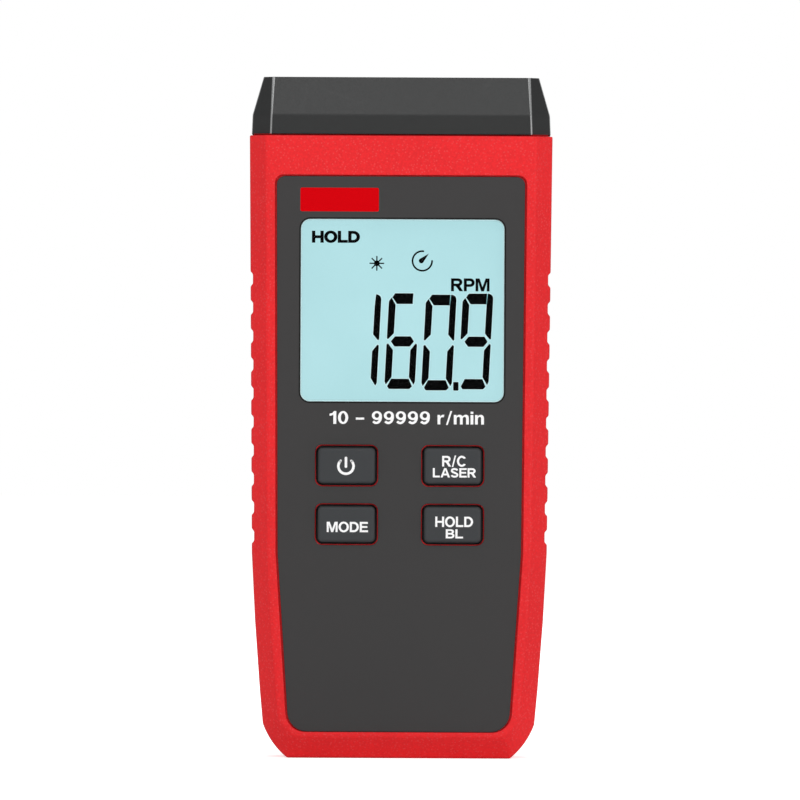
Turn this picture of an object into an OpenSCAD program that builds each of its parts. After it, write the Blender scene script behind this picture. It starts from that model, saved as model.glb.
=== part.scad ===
// Pocket laser tachometer: a hand-held meter that reads shaft speed from a laser spot.
// It stands on its base with the display facing -Y and the optics facing +Z. Millimetres.

/* [Body] */
// Width of the housing at its top, its widest point
body_w = 62; // [60:0.5:66]
// Height of the housing below the head cap
body_h = 127.4; // [124:0.2:136]
// Depth of the housing, from the front rim to the back
body_d = 28; // [27.5:0.5:32]
// Width where the lower taper starts
waist_w = 60.4; // [59:0.1:62]
// Height where the lower taper starts
waist_z = 42; // [36:1:48]
// Width at the top of the base corners
hip_w = 55.6; // [55:0.1:58]
// Height of the base corners
hip_z = 7; // [6.5:0.1:9]
// Width of the flat base
base_w = 45.6; // [42:0.2:48]
// How far the base corners bow out from a straight chamfer
corner_bulge = 0.6; // [0.2:0.1:1.2]
// How far the sides bow out along the lower taper
taper_bulge = 0.25; // [0.1:0.05:0.35]
// Side wall of both shells
wall = 2; // [1.8:0.1:2.4]
// Front wall of the front shell, measured at the rim
front_wall = 2.8; // [2.6:0.1:3.2]
// Back wall of the rear shell
back_wall = 2.2; // [2:0.1:2.6]
// Depth of the rear shell, from the parting plane to the back
rear_d = 14; // [14:0.1:15]
// Width of the bevel round the front and the back
edge_w = 3.7; // [2.5:0.1:4.2]
// Depth of that bevel
edge_d = 3.9; // [3:0.1:4.5]
// Height of the bevel above the base
base_edge_h = 4.9; // [4:0.1:5.4]
// Chamfer inside the shells, behind the bevel
inner_edge = 1.6; // [1:0.1:2]
// Height of the lip that keys the two shells together
lip_h = 1; // [0.6:0.1:1.4]

/* [Grip] */
// Number of finger notches down each side
grip_count = 10; // [4:1:11]
// Distance between notches
grip_pitch = 5.85; // [5:0.01:6]
// Height of the uppermost notch
grip_top_z = 98; // [92:0.5:104]
// Length of a notch at the surface
grip_len = 3; // [2:0.1:4]
// Length of a notch at its floor
grip_floor = 2; // [1:0.1:2.6]
// Depth of a notch in the side
grip_depth = 0.5; // [0.2:0.05:0.7]
// How far a notch runs on to the front and back bevels
grip_reach = 1.5; // [0.6:0.1:2]

/* [Head cap] */
// Height of the cap above the housing
cap_h = 12; // [10.5:0.1:15]
// Height of its upright lower band
cap_band_h = 4.2; // [2:0.1:6]
// How far the sides lean in at the top
cap_side_lean = 2.4; // [1:0.1:4]
// How far the front and back lean in at the top
cap_lean = 2.7; // [1:0.1:3.5]
// How far the cap sits in from the housing
cap_inset = 0.4; // [0.2:0.1:1]
// Width of its corner bevels, at the band
cap_bevel = 3.9; // [2.5:0.1:4.5]
// Width of its corner bevels, at the top
cap_top_bevel = 1.9; // [1:0.1:2.5]
// Rounding along the edges of those bevels
cap_edge = 0.5; // [0.3:0.1:0.8]
// Shadow gap between the cap and the housing
cap_gap = 0.35; // [0.1:0.05:0.6]
// How far that gap runs in under the cap
cap_gap_in = 0.5; // [0.3:0.1:0.6]
// Wall of the cap
cap_wall = 1.8; // [1.5:0.1:2.2]
// Depth of the tongue that enters the shells
tongue_h = 4.5; // [3.5:0.1:5]
// Wall of the tongue
tongue_t = 1.6; // [1.2:0.1:2]

/* [Face panel] */
// Red rim left at each side of the panel's recess
panel_rim = 5.1; // [5:0.1:6]
// Rim above the recess
panel_top_rim = 8.1; // [7:0.1:10]
// Rim below the recess
panel_base_rim = 5.4; // [5:0.1:7]
// Thickness of the panel
panel_t = 0.6; // [0.4:0.05:0.8]
// Shadow gap between the panel and the sides of its recess
panel_gap = 0.35; // [0.1:0.05:0.5]
// How far the panel lies below the rim
panel_sink = 0.4; // [0.2:0.05:0.6]
// Corner radius at the top
panel_top_r = 1.7; // [1:0.1:3]
// Corner radius at the base
panel_base_r = 4; // [2:0.1:5]

/* [Display] */
// Width of the window opening
window_w = 41.6; // [38:0.1:42]
// Height of the window opening
window_h = 37.3; // [34:0.1:38]
// Distance from the recess's top edge to the window
window_drop = 9; // [8.4:0.1:10]
// Distance of the window from the middle
window_x = 0.4; // [-0.6:0.1:0.6]
// Corner radius of the window
window_r = 1.9; // [1:0.1:3]
// Thickness of the window lens
lens_t = 1; // [0.8:0.05:1.2]
// How far the lens reaches under the panel
lens_lip = 1.8; // [1.4:0.1:2.2]
// Thickness of the display cell
cell_glass_t = 2.2; // [1.6:0.1:2.6]
// Border of the display cell beyond the window
cell_border = 2.4; // [2:0.1:2.6]
// Thickness of the backlight panel
backlight_t = 3.2; // [2.6:0.1:3.4]
// Wall of the display frame
frame_wall = 1.6; // [1.2:0.1:1.8]

/* [Keys] */
// Width of a key
key_w = 11.7; // [10:0.1:13]
// Height of a key
key_h = 7.3; // [6:0.1:8]
// Corner radius of a key
key_r = 0.9; // [0.5:0.1:1.5]
// Rounding of a key's upper edge
key_edge = 0.6; // [0.3:0.1:0.9]
// How far a key stands above the panel
key_rise = 1.2; // [1.05:0.05:1.6]
// Travel of a key
key_travel = 1; // [0.6:0.05:1]
// Distance between key columns
key_pitch_x = 21.7; // [18:0.1:22.4]
// Distance between key rows
key_pitch_z = 12; // [11:0.1:13]
// Distance from the window to the upper row
key_drop = 13.1; // [13:0.1:14]
// Gap between a key and the shell's opening
key_gap = 0.4; // [0.25:0.05:0.6]
// How far the panel's opening stands back from the shell's
key_reveal = 0.2; // [0.05:0.05:0.4]
// Flange that keeps a key in the shell
key_flange = 1.4; // [1:0.1:1.6]

/* [Battery] */
// Diameter of a cell
cell_d = 10.5; // [10:0.1:10.5]
// Length of a cell
cell_l = 44.5; // [43:0.1:45]
// Distance between cells
cell_pitch = 10.8; // [10.7:0.05:11]
// Height of the bay's floor above the base
bay_z = 8.4; // [8:0.1:9]
// Wall of the bay
bay_wall = 1.4; // [1.2:0.1:1.6]
// Thickness of the wall between the bay and the board
bay_floor = 1.2; // [1:0.1:1.2]
// Thickness of the contact plates
plate_t = 0.4; // [0.3:0.05:0.5]
// Length of a contact spring in use
spring_l = 5.6; // [4.5:0.1:6.5]
// Thickness of the battery door
door_t = 2; // [1.8:0.05:2.1]
// How far the door's tongues reach under the shell
door_tongue = 0.8; // [0.5:0.1:1]
// Travel of the door, which takes it off the shell
door_travel = 66; // [60:1:80]

/* [Optics] */
// Distance of the laser from the middle
laser_x = -7.2; // [-8:0.1:-6.8]
// Distance of the receiver from the middle
receiver_x = 5.2; // [5:0.1:6]
// Radius of the laser barrel
laser_r = 3; // [2.6:0.05:3.2]
// Radius of the receiver tube
receiver_r = 5; // [4.4:0.1:5.2]
// Radius of the laser's opening in the cap
laser_port_r = 1.6; // [1:0.1:2]
// Radius of the receiver's opening in the cap
receiver_port_r = 3.9; // [3:0.1:4]
// Length of the optical window
optic_w = 27; // [26:0.5:30]
// Width of the optical window
optic_h = 12.4; // [11:0.1:13]
// Thickness of the optical window
optic_t = 1.1; // [0.9:0.05:1.3]
// How far the optical window stands proud of the cap
optic_proud = 0.1; // [0:0.05:0.3]

/* [Hidden] */
$fn = 48;

// General clearances
// Between parts that are put together by hand
slip = 0.15;
// Between a screw and the hole it cuts its thread in
thread_gap = 0.02;
// Between the boards and the walls beside them
board_gap = 0.4;
// How far a cut or a joined part runs past a face
over = 0.5;
// Thickness of the slices that a hull is drawn over
skin = 0.01;

// Planes from front to back
key_proud = key_rise - panel_sink;
front_y = (key_proud - body_d) / 2;
back_y = front_y + body_d;
mid_y = (front_y + back_y) / 2;
split_y = back_y - rear_d;
panel_face_y = front_y + panel_sink;
panel_seat_y = panel_face_y + panel_t;
lens_seat_y = panel_seat_y + lens_t;
front_inner_y = front_y + front_wall;
back_inner_y = back_y - back_wall;
cell_face_y = front_inner_y;
cell_back_y = cell_face_y + cell_glass_t;
board_y = cell_back_y + backlight_t;
board_t = 1.6;
board_back_y = board_y + board_t;
bay_front_y = split_y + bay_floor;
door_seat_y = back_y - door_t;

// Planes from base to top
panel_top_z = body_h - panel_top_rim;
window_top_z = panel_top_z - window_drop;
window_base_z = window_top_z - window_h;
window_z = (window_top_z + window_base_z) / 2;
key_row_z = [window_base_z - key_drop, window_base_z - key_drop - key_pitch_z];
key_col_x = [-key_pitch_x / 2, key_pitch_x / 2];
cap_seat_z = body_h + cap_gap;
cap_band_z = body_h + cap_band_h;
cap_top_z = body_h + cap_h;
optic_seat_z = cap_top_z + optic_proud - optic_t;
optic_stop_z = optic_seat_z - 0.8;

// Outline helpers
function unit(v) = v / norm(v);
function left_of(v) = [-v[1], v[0]];
function cross2(a, b) = a[0] * b[1] - a[1] * b[0];
function meet(p, u, q, v) = p + u * (cross2(q - p, v) / cross2(u, v));

// Points of a counterclockwise polygon whose edges have each moved in by their own distance
function inset_outline(pts, moves) =
    let (n = len(pts))
    [for (i = [0 : n - 1])
        let (
            before = pts[(i + n - 1) % n],
            here = pts[i],
            after = pts[(i + 1) % n],
            u = unit(here - before),
            v = unit(after - here)
        )
        meet(here + left_of(u) * moves[(i + n - 1) % n], u, here + left_of(v) * moves[i], v)
    ];

// Points between p and q on an arc that bows out to the right of p to q
function bow(p, q, height, steps) =
    let (
        chord = norm(q - p),
        radius = (chord * chord / 4 + height * height) / (2 * height),
        out = -left_of(unit(q - p)),
        centre = (p + q) / 2 + out * (height - radius),
        half = asin(chord / 2 / radius)
    )
    [for (i = [1 : steps - 1])
        let (a = -half + 2 * half * i / steps)
        centre + radius * (out * cos(a) + unit(q - p) * sin(a))
    ];

// Points of a counterclockwise convex polygon with each corner rounded by its own radius
function rounded(pts, radii, steps) =
    let (n = len(pts))
    [for (i = [0 : n - 1])
        let (
            here = pts[i],
            u = unit(pts[(i + n - 1) % n] - here),
            v = unit(pts[(i + 1) % n] - here),
            half = acos(u * v) / 2,
            centre = here + unit(u + v) * (radii[i] / sin(half)),
            from = here + u * (radii[i] / tan(half)) - centre,
            turn = 180 - 2 * half
        )
        for (k = [0 : steps])
            let (a = turn * k / steps)
            centre + from * cos(a) + left_of(from) * sin(a)
    ];

function rect_points(w, h) = [[-w / 2, -h / 2], [w / 2, -h / 2], [w / 2, h / 2], [-w / 2, h / 2]];

// Housing outline seen from the front: base, corner, taper, side, top and their mirror images
body_points = [
    [-base_w / 2, 0], [base_w / 2, 0], [hip_w / 2, hip_z], [waist_w / 2, waist_z],
    [body_w / 2, body_h], [-body_w / 2, body_h], [-waist_w / 2, waist_z], [-hip_w / 2, hip_z]
];
corner_steps = 6;
taper_steps = 5;

// The housing outline moved in by side, base and top distances
function body_outline(side, base, top) =
    let (
        corner = (side + base) / 2,
        k = inset_outline(body_points, [base, corner, side, side, top, side, side, corner])
    )
    concat(
        [k[0], k[1]], bow(k[1], k[2], corner_bulge, corner_steps),
        [k[2]], bow(k[2], k[3], taper_bulge, taper_steps),
        [k[3], k[4], k[5], k[6]], bow(k[6], k[7], taper_bulge, taper_steps),
        [k[7]], bow(k[7], k[0], corner_bulge, corner_steps)
    );

// Half the housing's width at a height on its straight sides
function half_width(z) = z > waist_z
    ? (waist_w + (body_w - waist_w) * (z - waist_z) / (body_h - waist_z)) / 2
    : (hip_w + (waist_w - hip_w) * (z - hip_z) / (waist_z - hip_z)) / 2;

// Bevel section: share of its depth, share of its width, with the corners eased
bevel_section = [[0, 1], [0.025, 0.91], [0.07, 0.83], [0.83, 0.07], [0.91, 0.025], [1, 0]];

// Draws a flat shape, given in X and Z, between two depths
module plate(y0, y1) {
    translate([0, y1, 0])
        rotate([90, 0, 0])
            linear_extrude(y1 - y0)
                children();
}

// Draws a flat shape, given in X and Y, between two heights
module slab(z0, z1) {
    translate([0, 0, z0])
        linear_extrude(z1 - z0)
            children();
}

// A round bar along Y between two depths
module bar_y(x, z, r, y0, y1) {
    translate([x, y1, z])
        rotate([90, 0, 0])
            cylinder(r = r, h = y1 - y0);
}

// A round bar along Z between two heights
module bar_z(x, y, r, z0, z1) {
    translate([x, y, z0])
        cylinder(r = r, h = z1 - z0);
}

module block(x0, x1, y0, y1, z0, z1) {
    translate([x0, y0, z0])
        cube([x1 - x0, y1 - y0, z1 - z0]);
}

module rounded_rect(w, h, r) {
    polygon(rounded(rect_points(w, h), [r, r, r, r], 6));
}

// The outside of both shells, bevelled front and back
module body_form() {
    hull()
        for (e = bevel_section) {
            y = e[0] * edge_d;
            plate(front_y + y, front_y + y + skin)
                polygon(body_outline(e[1] * edge_w, e[1] * base_edge_h, 0));
            plate(back_y - y - skin, back_y - y)
                polygon(body_outline(e[1] * edge_w, e[1] * base_edge_h, 0));
        }
}

// The space inside both shells, open at the top
module body_space() {
    base_in = wall + base_edge_h * 0.4;
    hull() {
        for (s = [0, 1]) {
            grow = wall + inner_edge * (1 - s);
            plate(front_inner_y + inner_edge * s, front_inner_y + inner_edge * s + skin)
                polygon(body_outline(grow, base_in + inner_edge * (1 - s), -over));
            plate(back_inner_y - inner_edge * s - skin, back_inner_y - inner_edge * s)
                polygon(body_outline(grow, base_in + inner_edge * (1 - s), -over));
        }
    }
}

module front_half() {
    block(-body_w, body_w, front_y - over, split_y, -over, body_h + over);
}

module back_half() {
    block(-body_w, body_w, split_y, back_y + over, -over, body_h + over);
}

// Finger notches down both sides, each running on to the front and back bevels
module grip_notches() {
    slope = atan2(edge_d, edge_w);
    for (i = [0 : grip_count - 1], side = [-1, 1]) {
        z = grip_top_z - i * grip_pitch;
        translate([side * half_width(z), mid_y, z]) {
            grip_cut(side, body_d);
            for (face = [-1, 1])
                translate([0, face * (body_d / 2 - edge_d * 0.9), 0])
                    rotate([0, 0, -side * face * (90 - slope)])
                        grip_cut(side, 2 * grip_reach / cos(slope));
        }
    }
}

// One straight notch, sunk in from the side it faces
module grip_cut(side, depth) {
    plate(-depth / 2, depth / 2)
        polygon([
            [side * over, grip_len / 2 + over * (grip_len - grip_floor) / 2 / grip_depth],
            [-side * grip_depth, grip_floor / 2],
            [-side * grip_depth, -grip_floor / 2],
            [side * over, -grip_len / 2 - over * (grip_len - grip_floor) / 2 / grip_depth]
        ]);
}

// Housing screws: four bosses that meet at the parting plane
screw_r = 1.25;
screw_head_r = 2.2;
screw_head_t = 1.6;
screw_seat_y = split_y + 4;
screw_l = 9;
boss_r = 3;
boss_low = [half_width(13) - 6.4, 13];
boss_high = [half_width(body_h) - 8.4, body_h - tongue_h - boss_r - 0.8];
boss_places = [for (p = [boss_low, boss_high], side = [-1, 1]) [side * p[0], p[1]]];

// Board screws: four short bosses on the front shell
board_w = hip_w - 2 * wall - 2 * board_gap;
board_boss_edge = 2.6;
board_boss_up = 5.2;
board_boss_drop = 14;
board_boss_x = board_w / 2 - board_boss_edge;
board_screw_r = 0.95;
board_screw_l = 5;
board_screw_head_r = 1.9;
board_screw_head_t = 1.2;
board_boss_r = 2.2;
board_boss_z = [key_row_z[0] + board_boss_up, key_row_z[1] - board_boss_drop];
board_places = [for (z = board_boss_z, side = [-1, 1]) [side * board_boss_x, z]];

// Lugs on the cap's tongue, held in pockets of both shells
lug_w = 9;
lug_h = 1.6;
lug_reach = 1;
lug_z = body_h - tongue_h + 0.8;

module cap_lugs(grow) {
    for (side = [-1, 1])
        block(
            side > 0 ? half_width(body_h) - wall - over - 1 : -half_width(body_h) + wall - lug_reach - grow,
            side > 0 ? half_width(body_h) - wall + lug_reach + grow : -half_width(body_h) + wall + over + 1,
            split_y - lug_w / 2 - grow, split_y + lug_w / 2 + grow,
            lug_z - grow, lug_z + lug_h + grow
        );
}

// Recess of the panel: base, lower taper, side, top and their mirror images
rim_ease = 0.15;
recess_points = [
    [-hip_w / 2 + panel_rim - rim_ease, panel_base_rim], [hip_w / 2 - panel_rim + rim_ease, panel_base_rim],
    [waist_w / 2 - panel_rim + rim_ease, waist_z], [body_w / 2 - panel_rim - rim_ease, panel_top_z],
    [-body_w / 2 + panel_rim + rim_ease, panel_top_z], [-waist_w / 2 + panel_rim - rim_ease, waist_z]
];
panel_top_gap = panel_gap * 0.7;

// The recess's outline, or the panel's, moved in at the base, the sides and the top
module panel_outline(base, side, top) {
    bend_r = 12;
    polygon(rounded(
        inset_outline(recess_points, [base, side, side, top, side, side]),
        [panel_base_r, panel_base_r, bend_r, panel_top_r, panel_top_r, bend_r], 6
    ));
}

// Places the children at each key
module at_keys() {
    for (z = key_row_z, x = key_col_x)
        translate([x, z])
            children();
}

module window_outline(grow) {
    translate([window_x, window_z])
        rounded_rect(window_w + 2 * grow, window_h + 2 * grow, window_r + grow);
}

module front_shell() {
    color([0.86, 0.06, 0.07])
        difference() {
            union() {
                difference() {
                    intersection() {
                        body_form();
                        front_half();
                    }
                    body_space();
                }
                for (p = boss_places)
                    bar_y(p[0], p[1], boss_r, front_inner_y - over, split_y);
                intersection() {
                    seam_rim();
                    front_half();
                }
                for (p = board_places)
                    bar_y(p[0], p[1], board_boss_r, front_inner_y - over, board_y);
                shell_lip();
            }
            plate(front_y - over, panel_seat_y)
                panel_outline(0, 0, 0);
            plate(front_y - over, lens_seat_y)
                window_outline(lens_lip + slip / 2);
            plate(front_y - over, front_inner_y + over)
                window_outline(slip);
            plate(front_y - over, front_inner_y + over)
                at_keys()
                    rounded_rect(key_w + 2 * key_gap, key_h + 2 * key_gap, key_r + key_gap);
            for (p = boss_places)
                bar_y(p[0], p[1], screw_r + thread_gap, screw_seat_y - screw_l - over, split_y + over);
            for (p = board_places)
                bar_y(
                    p[0], p[1], board_screw_r + thread_gap,
                    board_back_y - board_screw_l - over, board_y + over
                );
            grip_notches();
            cap_lugs(slip);
        }
}

// Lip on the front shell's edge that enters the rear shell, below the cap's tongue
module shell_lip() {
    plate(split_y - over, split_y + lip_h)
        lip_range(0)
            difference() {
                polygon(body_outline(wall / 2 + slip, wall / 2 + slip, -over));
                polygon(body_outline(wall, wall + over, -2 * over));
            }
}

// Keeps what lies below the cap's tongue
module lip_range(grow) {
    intersection() {
        children();
        translate([-body_w / 2, -over])
            square([body_w, body_h - tongue_h - 2 + grow]);
    }
}

// Battery bay: three cells side by side between end contacts
bay_side = 0.25;
bay_half = cell_pitch + cell_d / 2 + bay_side;
bay_l = cell_l + spring_l + 2 * plate_t;
bay_top_z = bay_z + bay_l;
cell_y = bay_front_y + slip + cell_d / 2;
cell_x = [-cell_pitch, 0, cell_pitch];

// Battery door: slides down off the shell, held by tongues in grooves
door_lap = 1.2;
door_half = bay_half + door_lap;
door_top_z = bay_top_z + door_lap;
door_tongue_t = 0.8;
rail_t = 1.6;
rail_half = door_half + door_tongue + 0.9;

// Tails of the two end contacts, which pass through the bay's front wall to the board
tail_w = 3;

module tail_slots() {
    gap = slip / 2;
    for (p = [[cell_x[0], bay_top_z - plate_t], [cell_x[2], bay_z]])
        block(
            p[0] - tail_w / 2 - gap, p[0] + tail_w / 2 + gap,
            split_y - over, bay_front_y + over,
            p[1] - gap, p[1] + plate_t + gap
        );
}

module rear_shell() {
    color([0.86, 0.06, 0.07])
        difference() {
            union() {
                difference() {
                    intersection() {
                        body_form();
                        back_half();
                    }
                    body_space();
                    plate(split_y - over, split_y + lip_h + slip)
                        lip_range(slip)
                            polygon(body_outline(wall / 2, wall / 2, -over));
                }
                for (p = boss_places)
                    bar_y(p[0], p[1], boss_r, split_y, back_inner_y + over);
                intersection() {
                    seam_rim();
                    back_half();
                }
                block(
                    -bay_half - bay_wall, bay_half + bay_wall, split_y, back_inner_y + over / 2,
                    bay_z - bay_wall, bay_top_z + bay_wall
                );
                block(
                    -rail_half, rail_half, door_seat_y - rail_t, back_inner_y + over / 2,
                    base_edge_h * 0.7, bay_top_z + bay_wall
                );
            }
            block(-bay_half, bay_half, bay_front_y, back_y + over, bay_z, bay_top_z);
            block(-door_half, door_half, door_seat_y, back_y + over, -over, door_top_z);
            block(
                -door_half - door_tongue, door_half + door_tongue, door_seat_y,
                door_seat_y + door_tongue_t + slip, -over, door_top_z
            );
            for (p = boss_places) {
                bar_y(p[0], p[1], screw_r + slip, split_y - over, back_y + over);
                bar_y(p[0], p[1], screw_head_r + slip, screw_seat_y, back_y + over);
            }
            tail_slots();
            grip_notches();
            cap_lugs(slip);
        }
}

// Thumb pad on the door: a shallow recess with ribs across it
pad_w = 15;
pad_h = 9;
pad_depth = 0.7;
pad_ribs = 4;
pad_rib_t = 0.9;

module thumb_pad() {
    z = door_top_z - 4 - pad_h / 2;
    pitch = pad_h / (pad_ribs + 1);
    difference() {
        plate(back_y - pad_depth, back_y + over)
            translate([0, z])
                rounded_rect(pad_w, pad_h, 2);
        for (i = [1 : pad_ribs])
            block(
                -pad_w / 2 + 1, pad_w / 2 - 1, back_y - pad_depth - over, back_y - 0.1,
                z - pad_h / 2 + i * pitch - pad_rib_t / 2, z - pad_h / 2 + i * pitch + pad_rib_t / 2
            );
    }
    plate(back_y - pad_depth / 2, back_y + over)
        translate([0, z - pad_h / 2 - 2.4])
            polygon([[-3, 0], [0, -3], [3, 0]]);
}

module battery_door() {
    color([0.86, 0.06, 0.07])
        difference() {
            intersection() {
                body_form();
                union() {
                    block(
                        -door_half + slip, door_half - slip, door_seat_y, back_y + over,
                        -over, door_top_z - slip
                    );
                    block(
                        -door_half - door_tongue + slip, door_half + door_tongue - slip, door_seat_y,
                        door_seat_y + door_tongue_t, -over, door_top_z - slip
                    );
                }
            }
            thumb_pad();
        }
}

// A pan-head screw along Y: its head faces +Y from the seat, with a cross recess
module screw_y(x, z, seat_y, r, length, head_r, head_t) {
    slot_w = r * 0.55;
    difference() {
        union() {
            bar_y(x, z, r, seat_y - length, seat_y + head_t / 2);
            bar_y(x, z, head_r, seat_y, seat_y + head_t);
        }
        for (s = [[head_r * 0.65, slot_w / 2], [slot_w / 2, head_r * 0.65]])
            block(x - s[0], x + s[0], seat_y + head_t * 0.45, seat_y + head_t + over, z - s[1], z + s[1]);
    }
}

module housing_screws() {
    color([0.35, 0.36, 0.38])
        for (p = boss_places)
            screw_y(p[0], p[1], screw_seat_y, screw_r, screw_l, screw_head_r, screw_head_t);
}

module board_screws() {
    color([0.7, 0.71, 0.73])
        for (p = board_places)
            screw_y(
                p[0], p[1], board_back_y, board_screw_r, board_screw_l,
                board_screw_head_r, board_screw_head_t
            );
}

// Head cap: an upright band with a leaning upper part and bevelled corners
cap_half_w = body_w / 2 - cap_inset;
cap_half_d = body_d / 2 - cap_inset;
cap_draft = 0.15;

// Cross-section of the cap, moved in by a wall
function cap_section(half_w, half_d, bevel_x, bevel_y, move) =
    let (
        k = [
            [-half_w + bevel_x, -half_d], [half_w - bevel_x, -half_d],
            [half_w, -half_d + bevel_y], [half_w, half_d - bevel_y],
            [half_w - bevel_x, half_d], [-half_w + bevel_x, half_d],
            [-half_w, half_d - bevel_y], [-half_w, -half_d + bevel_y]
        ],
        r = move > 0 ? 0.2 : cap_edge
    )
    rounded(inset_outline(k, [for (i = [0 : 7]) move]), [for (i = [0 : 7]) r], 3);

module cap_form(move, base_z, drop) {
    hull() {
        translate([0, mid_y, 0]) {
            slab(base_z, base_z + skin)
                polygon(cap_section(cap_half_w, cap_half_d, cap_bevel, cap_bevel, move));
            slab(cap_band_z - drop, cap_band_z - drop + skin)
                polygon(cap_section(cap_half_w - cap_draft, cap_half_d, cap_bevel, cap_bevel, move));
            slab(cap_top_z - drop - skin, cap_top_z - drop)
                polygon(cap_section(
                    cap_half_w - cap_side_lean, cap_half_d - cap_lean, cap_top_bevel, cap_top_bevel, move
                ));
        }
    }
}

// Inside section of the shells at their open top, moved in by a distance
function mouth_points(move) =
    let (
        a = body_w / 2 - wall,
        e = inner_edge,
        k = [
            [-a + e, front_inner_y], [a - e, front_inner_y],
            [a, front_inner_y + e], [a, back_inner_y - e],
            [a - e, back_inner_y], [-a + e, back_inner_y],
            [-a, back_inner_y - e], [-a, front_inner_y + e]
        ]
    )
    inset_outline(k, [for (i = [0 : 7]) move]);

// Low rim round the shells' open top, which the cap rests on
module seam_rim() {
    difference() {
        translate([0, mid_y, 0])
            slab(body_h - over, cap_seat_z)
                polygon(cap_section(cap_half_w, cap_half_d, cap_bevel, cap_bevel, cap_gap_in));
        slab(body_h - 2 * over, cap_seat_z + over)
            polygon(mouth_points(-slip));
    }
}

// Optics: a laser and a receiver, side by side behind one window
sleeve_wall = 1.4;
sleeve_base_z = body_h - 1.4;
barrel_l = 15.6;
tube_l = 16;
optics_board_t = 1.2;
optics_gap = 1.6;
optics_board_w = 2 * (boss_high[0] - boss_r - optics_gap);
optics_board_h = 14;
optics_board_z = optic_stop_z - tube_l - 1.9;
optics_post_edge = 2.6;
optics_post_x = optics_board_w / 2 - optics_post_edge;
optics_post_r = 2.1;
optics_screw_r = 0.9;
optics_screw_l = 5;
optics_screw_head_r = 1.7;
optics_screw_head_t = 1.2;

module optic_outline(grow) {
    translate([0, mid_y])
        rounded_rect(optic_w + 2 * grow, optic_h + 2 * grow, optic_h / 2 + grow - 0.1);
}

module head_cap() {
    color([0.07, 0.07, 0.075])
        difference() {
            union() {
                difference() {
                    union() {
                        cap_form(0, cap_seat_z, 0);
                        slab(body_h - tongue_h, cap_seat_z + over)
                            polygon(mouth_points(slip));
                    }
                    cap_form(cap_wall, cap_seat_z + cap_wall, cap_wall);
                    slab(body_h - tongue_h - over, cap_seat_z + cap_wall + over)
                        polygon(mouth_points(slip + tongue_t));
                }
                bar_z(laser_x, mid_y, laser_r + slip / 3 + sleeve_wall, sleeve_base_z, optic_seat_z);
                bar_z(receiver_x, mid_y, receiver_r + slip / 3 + sleeve_wall, sleeve_base_z, optic_seat_z);
                for (side = [-1, 1])
                    bar_z(
                        side * optics_post_x, mid_y, optics_post_r,
                        optics_board_z + optics_board_t, optic_seat_z
                    );
                cap_lugs(0);
            }
            slab(optic_seat_z, cap_top_z + over)
                optic_outline(slip / 2);
            bar_z(laser_x, mid_y, laser_r + slip / 3, sleeve_base_z - over, optic_stop_z);
            bar_z(laser_x, mid_y, laser_port_r, optic_stop_z - over, optic_seat_z + over);
            bar_z(receiver_x, mid_y, receiver_r + slip / 3, sleeve_base_z - over, optic_stop_z);
            bar_z(receiver_x, mid_y, receiver_port_r, optic_stop_z - over, optic_seat_z + over);
            for (side = [-1, 1])
                bar_z(
                    side * optics_post_x, mid_y, optics_screw_r + thread_gap,
                    optics_board_z + optics_board_t - over, optics_board_z + optics_screw_l + over
                );
        }
}

module optic_window() {
    color([0.1, 0.01, 0.015])
        slab(optic_seat_z, optic_seat_z + optic_t)
            optic_outline(0);
}

// Laser barrel: a turned tube with a diode seat at one end and a lens seat at the other
diode_flange_r = 1.9;
diode_can_r = 1.4;
laser_lens_r = 2.2;
laser_lens_t = 1.4;
barrel_z = optic_stop_z - barrel_l;

module laser_barrel() {
    color([0.72, 0.53, 0.2])
        translate([laser_x, mid_y, barrel_z])
            rotate_extrude()
                polygon([
                    [diode_flange_r + 0.05, 0], [laser_r - 0.2, 0], [laser_r, 0.2],
                    [laser_r, barrel_l], [laser_lens_r + 0.05, barrel_l],
                    [laser_lens_r + 0.05, barrel_l - laser_lens_t - 0.3],
                    [laser_lens_r - 0.4, barrel_l - laser_lens_t - 0.3],
                    [laser_lens_r - 0.4, 9], [diode_can_r + 0.15, 9],
                    [diode_can_r + 0.15, 1.4], [diode_flange_r + 0.05, 1.4]
                ]);
}

module laser_lens() {
    z0 = barrel_l - laser_lens_t - 0.3;
    color([0.75, 0.85, 0.9])
        translate([laser_x, mid_y, barrel_z + z0])
            rotate_extrude()
                polygon(concat(
                    [[0, 0], [laser_lens_r, 0], [laser_lens_r, laser_lens_t * 0.55]],
                    [for (a = [15 : 15 : 90]) [laser_lens_r * cos(a), laser_lens_t * (0.55 + 0.45 * sin(a))]]
                ));
}

module laser_diode() {
    color([0.78, 0.7, 0.45])
        translate([laser_x, mid_y, barrel_z]) {
            rotate_extrude()
                polygon([
                    [0, 0.2], [diode_flange_r, 0.2], [diode_flange_r, 1.4],
                    [diode_can_r, 1.4], [diode_can_r, 4], [diode_can_r - 0.2, 4.2], [0, 4.2]
                ]);
            for (a = [90, 210, 330])
                rotate([0, 0, a])
                    bar_z(0.9, 0, 0.22, optics_board_z + optics_board_t - barrel_z, 0.4);
        }
}

receiver_lens_r = receiver_port_r + 0.3;
receiver_lens_t = 2.6;
tube_z = optic_stop_z - tube_l;

module receiver_tube() {
    color([0.02, 0.02, 0.022])
        translate([receiver_x, mid_y, tube_z])
            rotate_extrude()
                polygon([
                    [receiver_r - 1.6, 0], [receiver_r, 0], [receiver_r, tube_l],
                    [receiver_lens_r + 0.05, tube_l],
                    [receiver_lens_r + 0.05, tube_l - receiver_lens_t - 0.2],
                    [receiver_r - 1.6, tube_l - receiver_lens_t - 0.2]
                ]);
}

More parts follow.
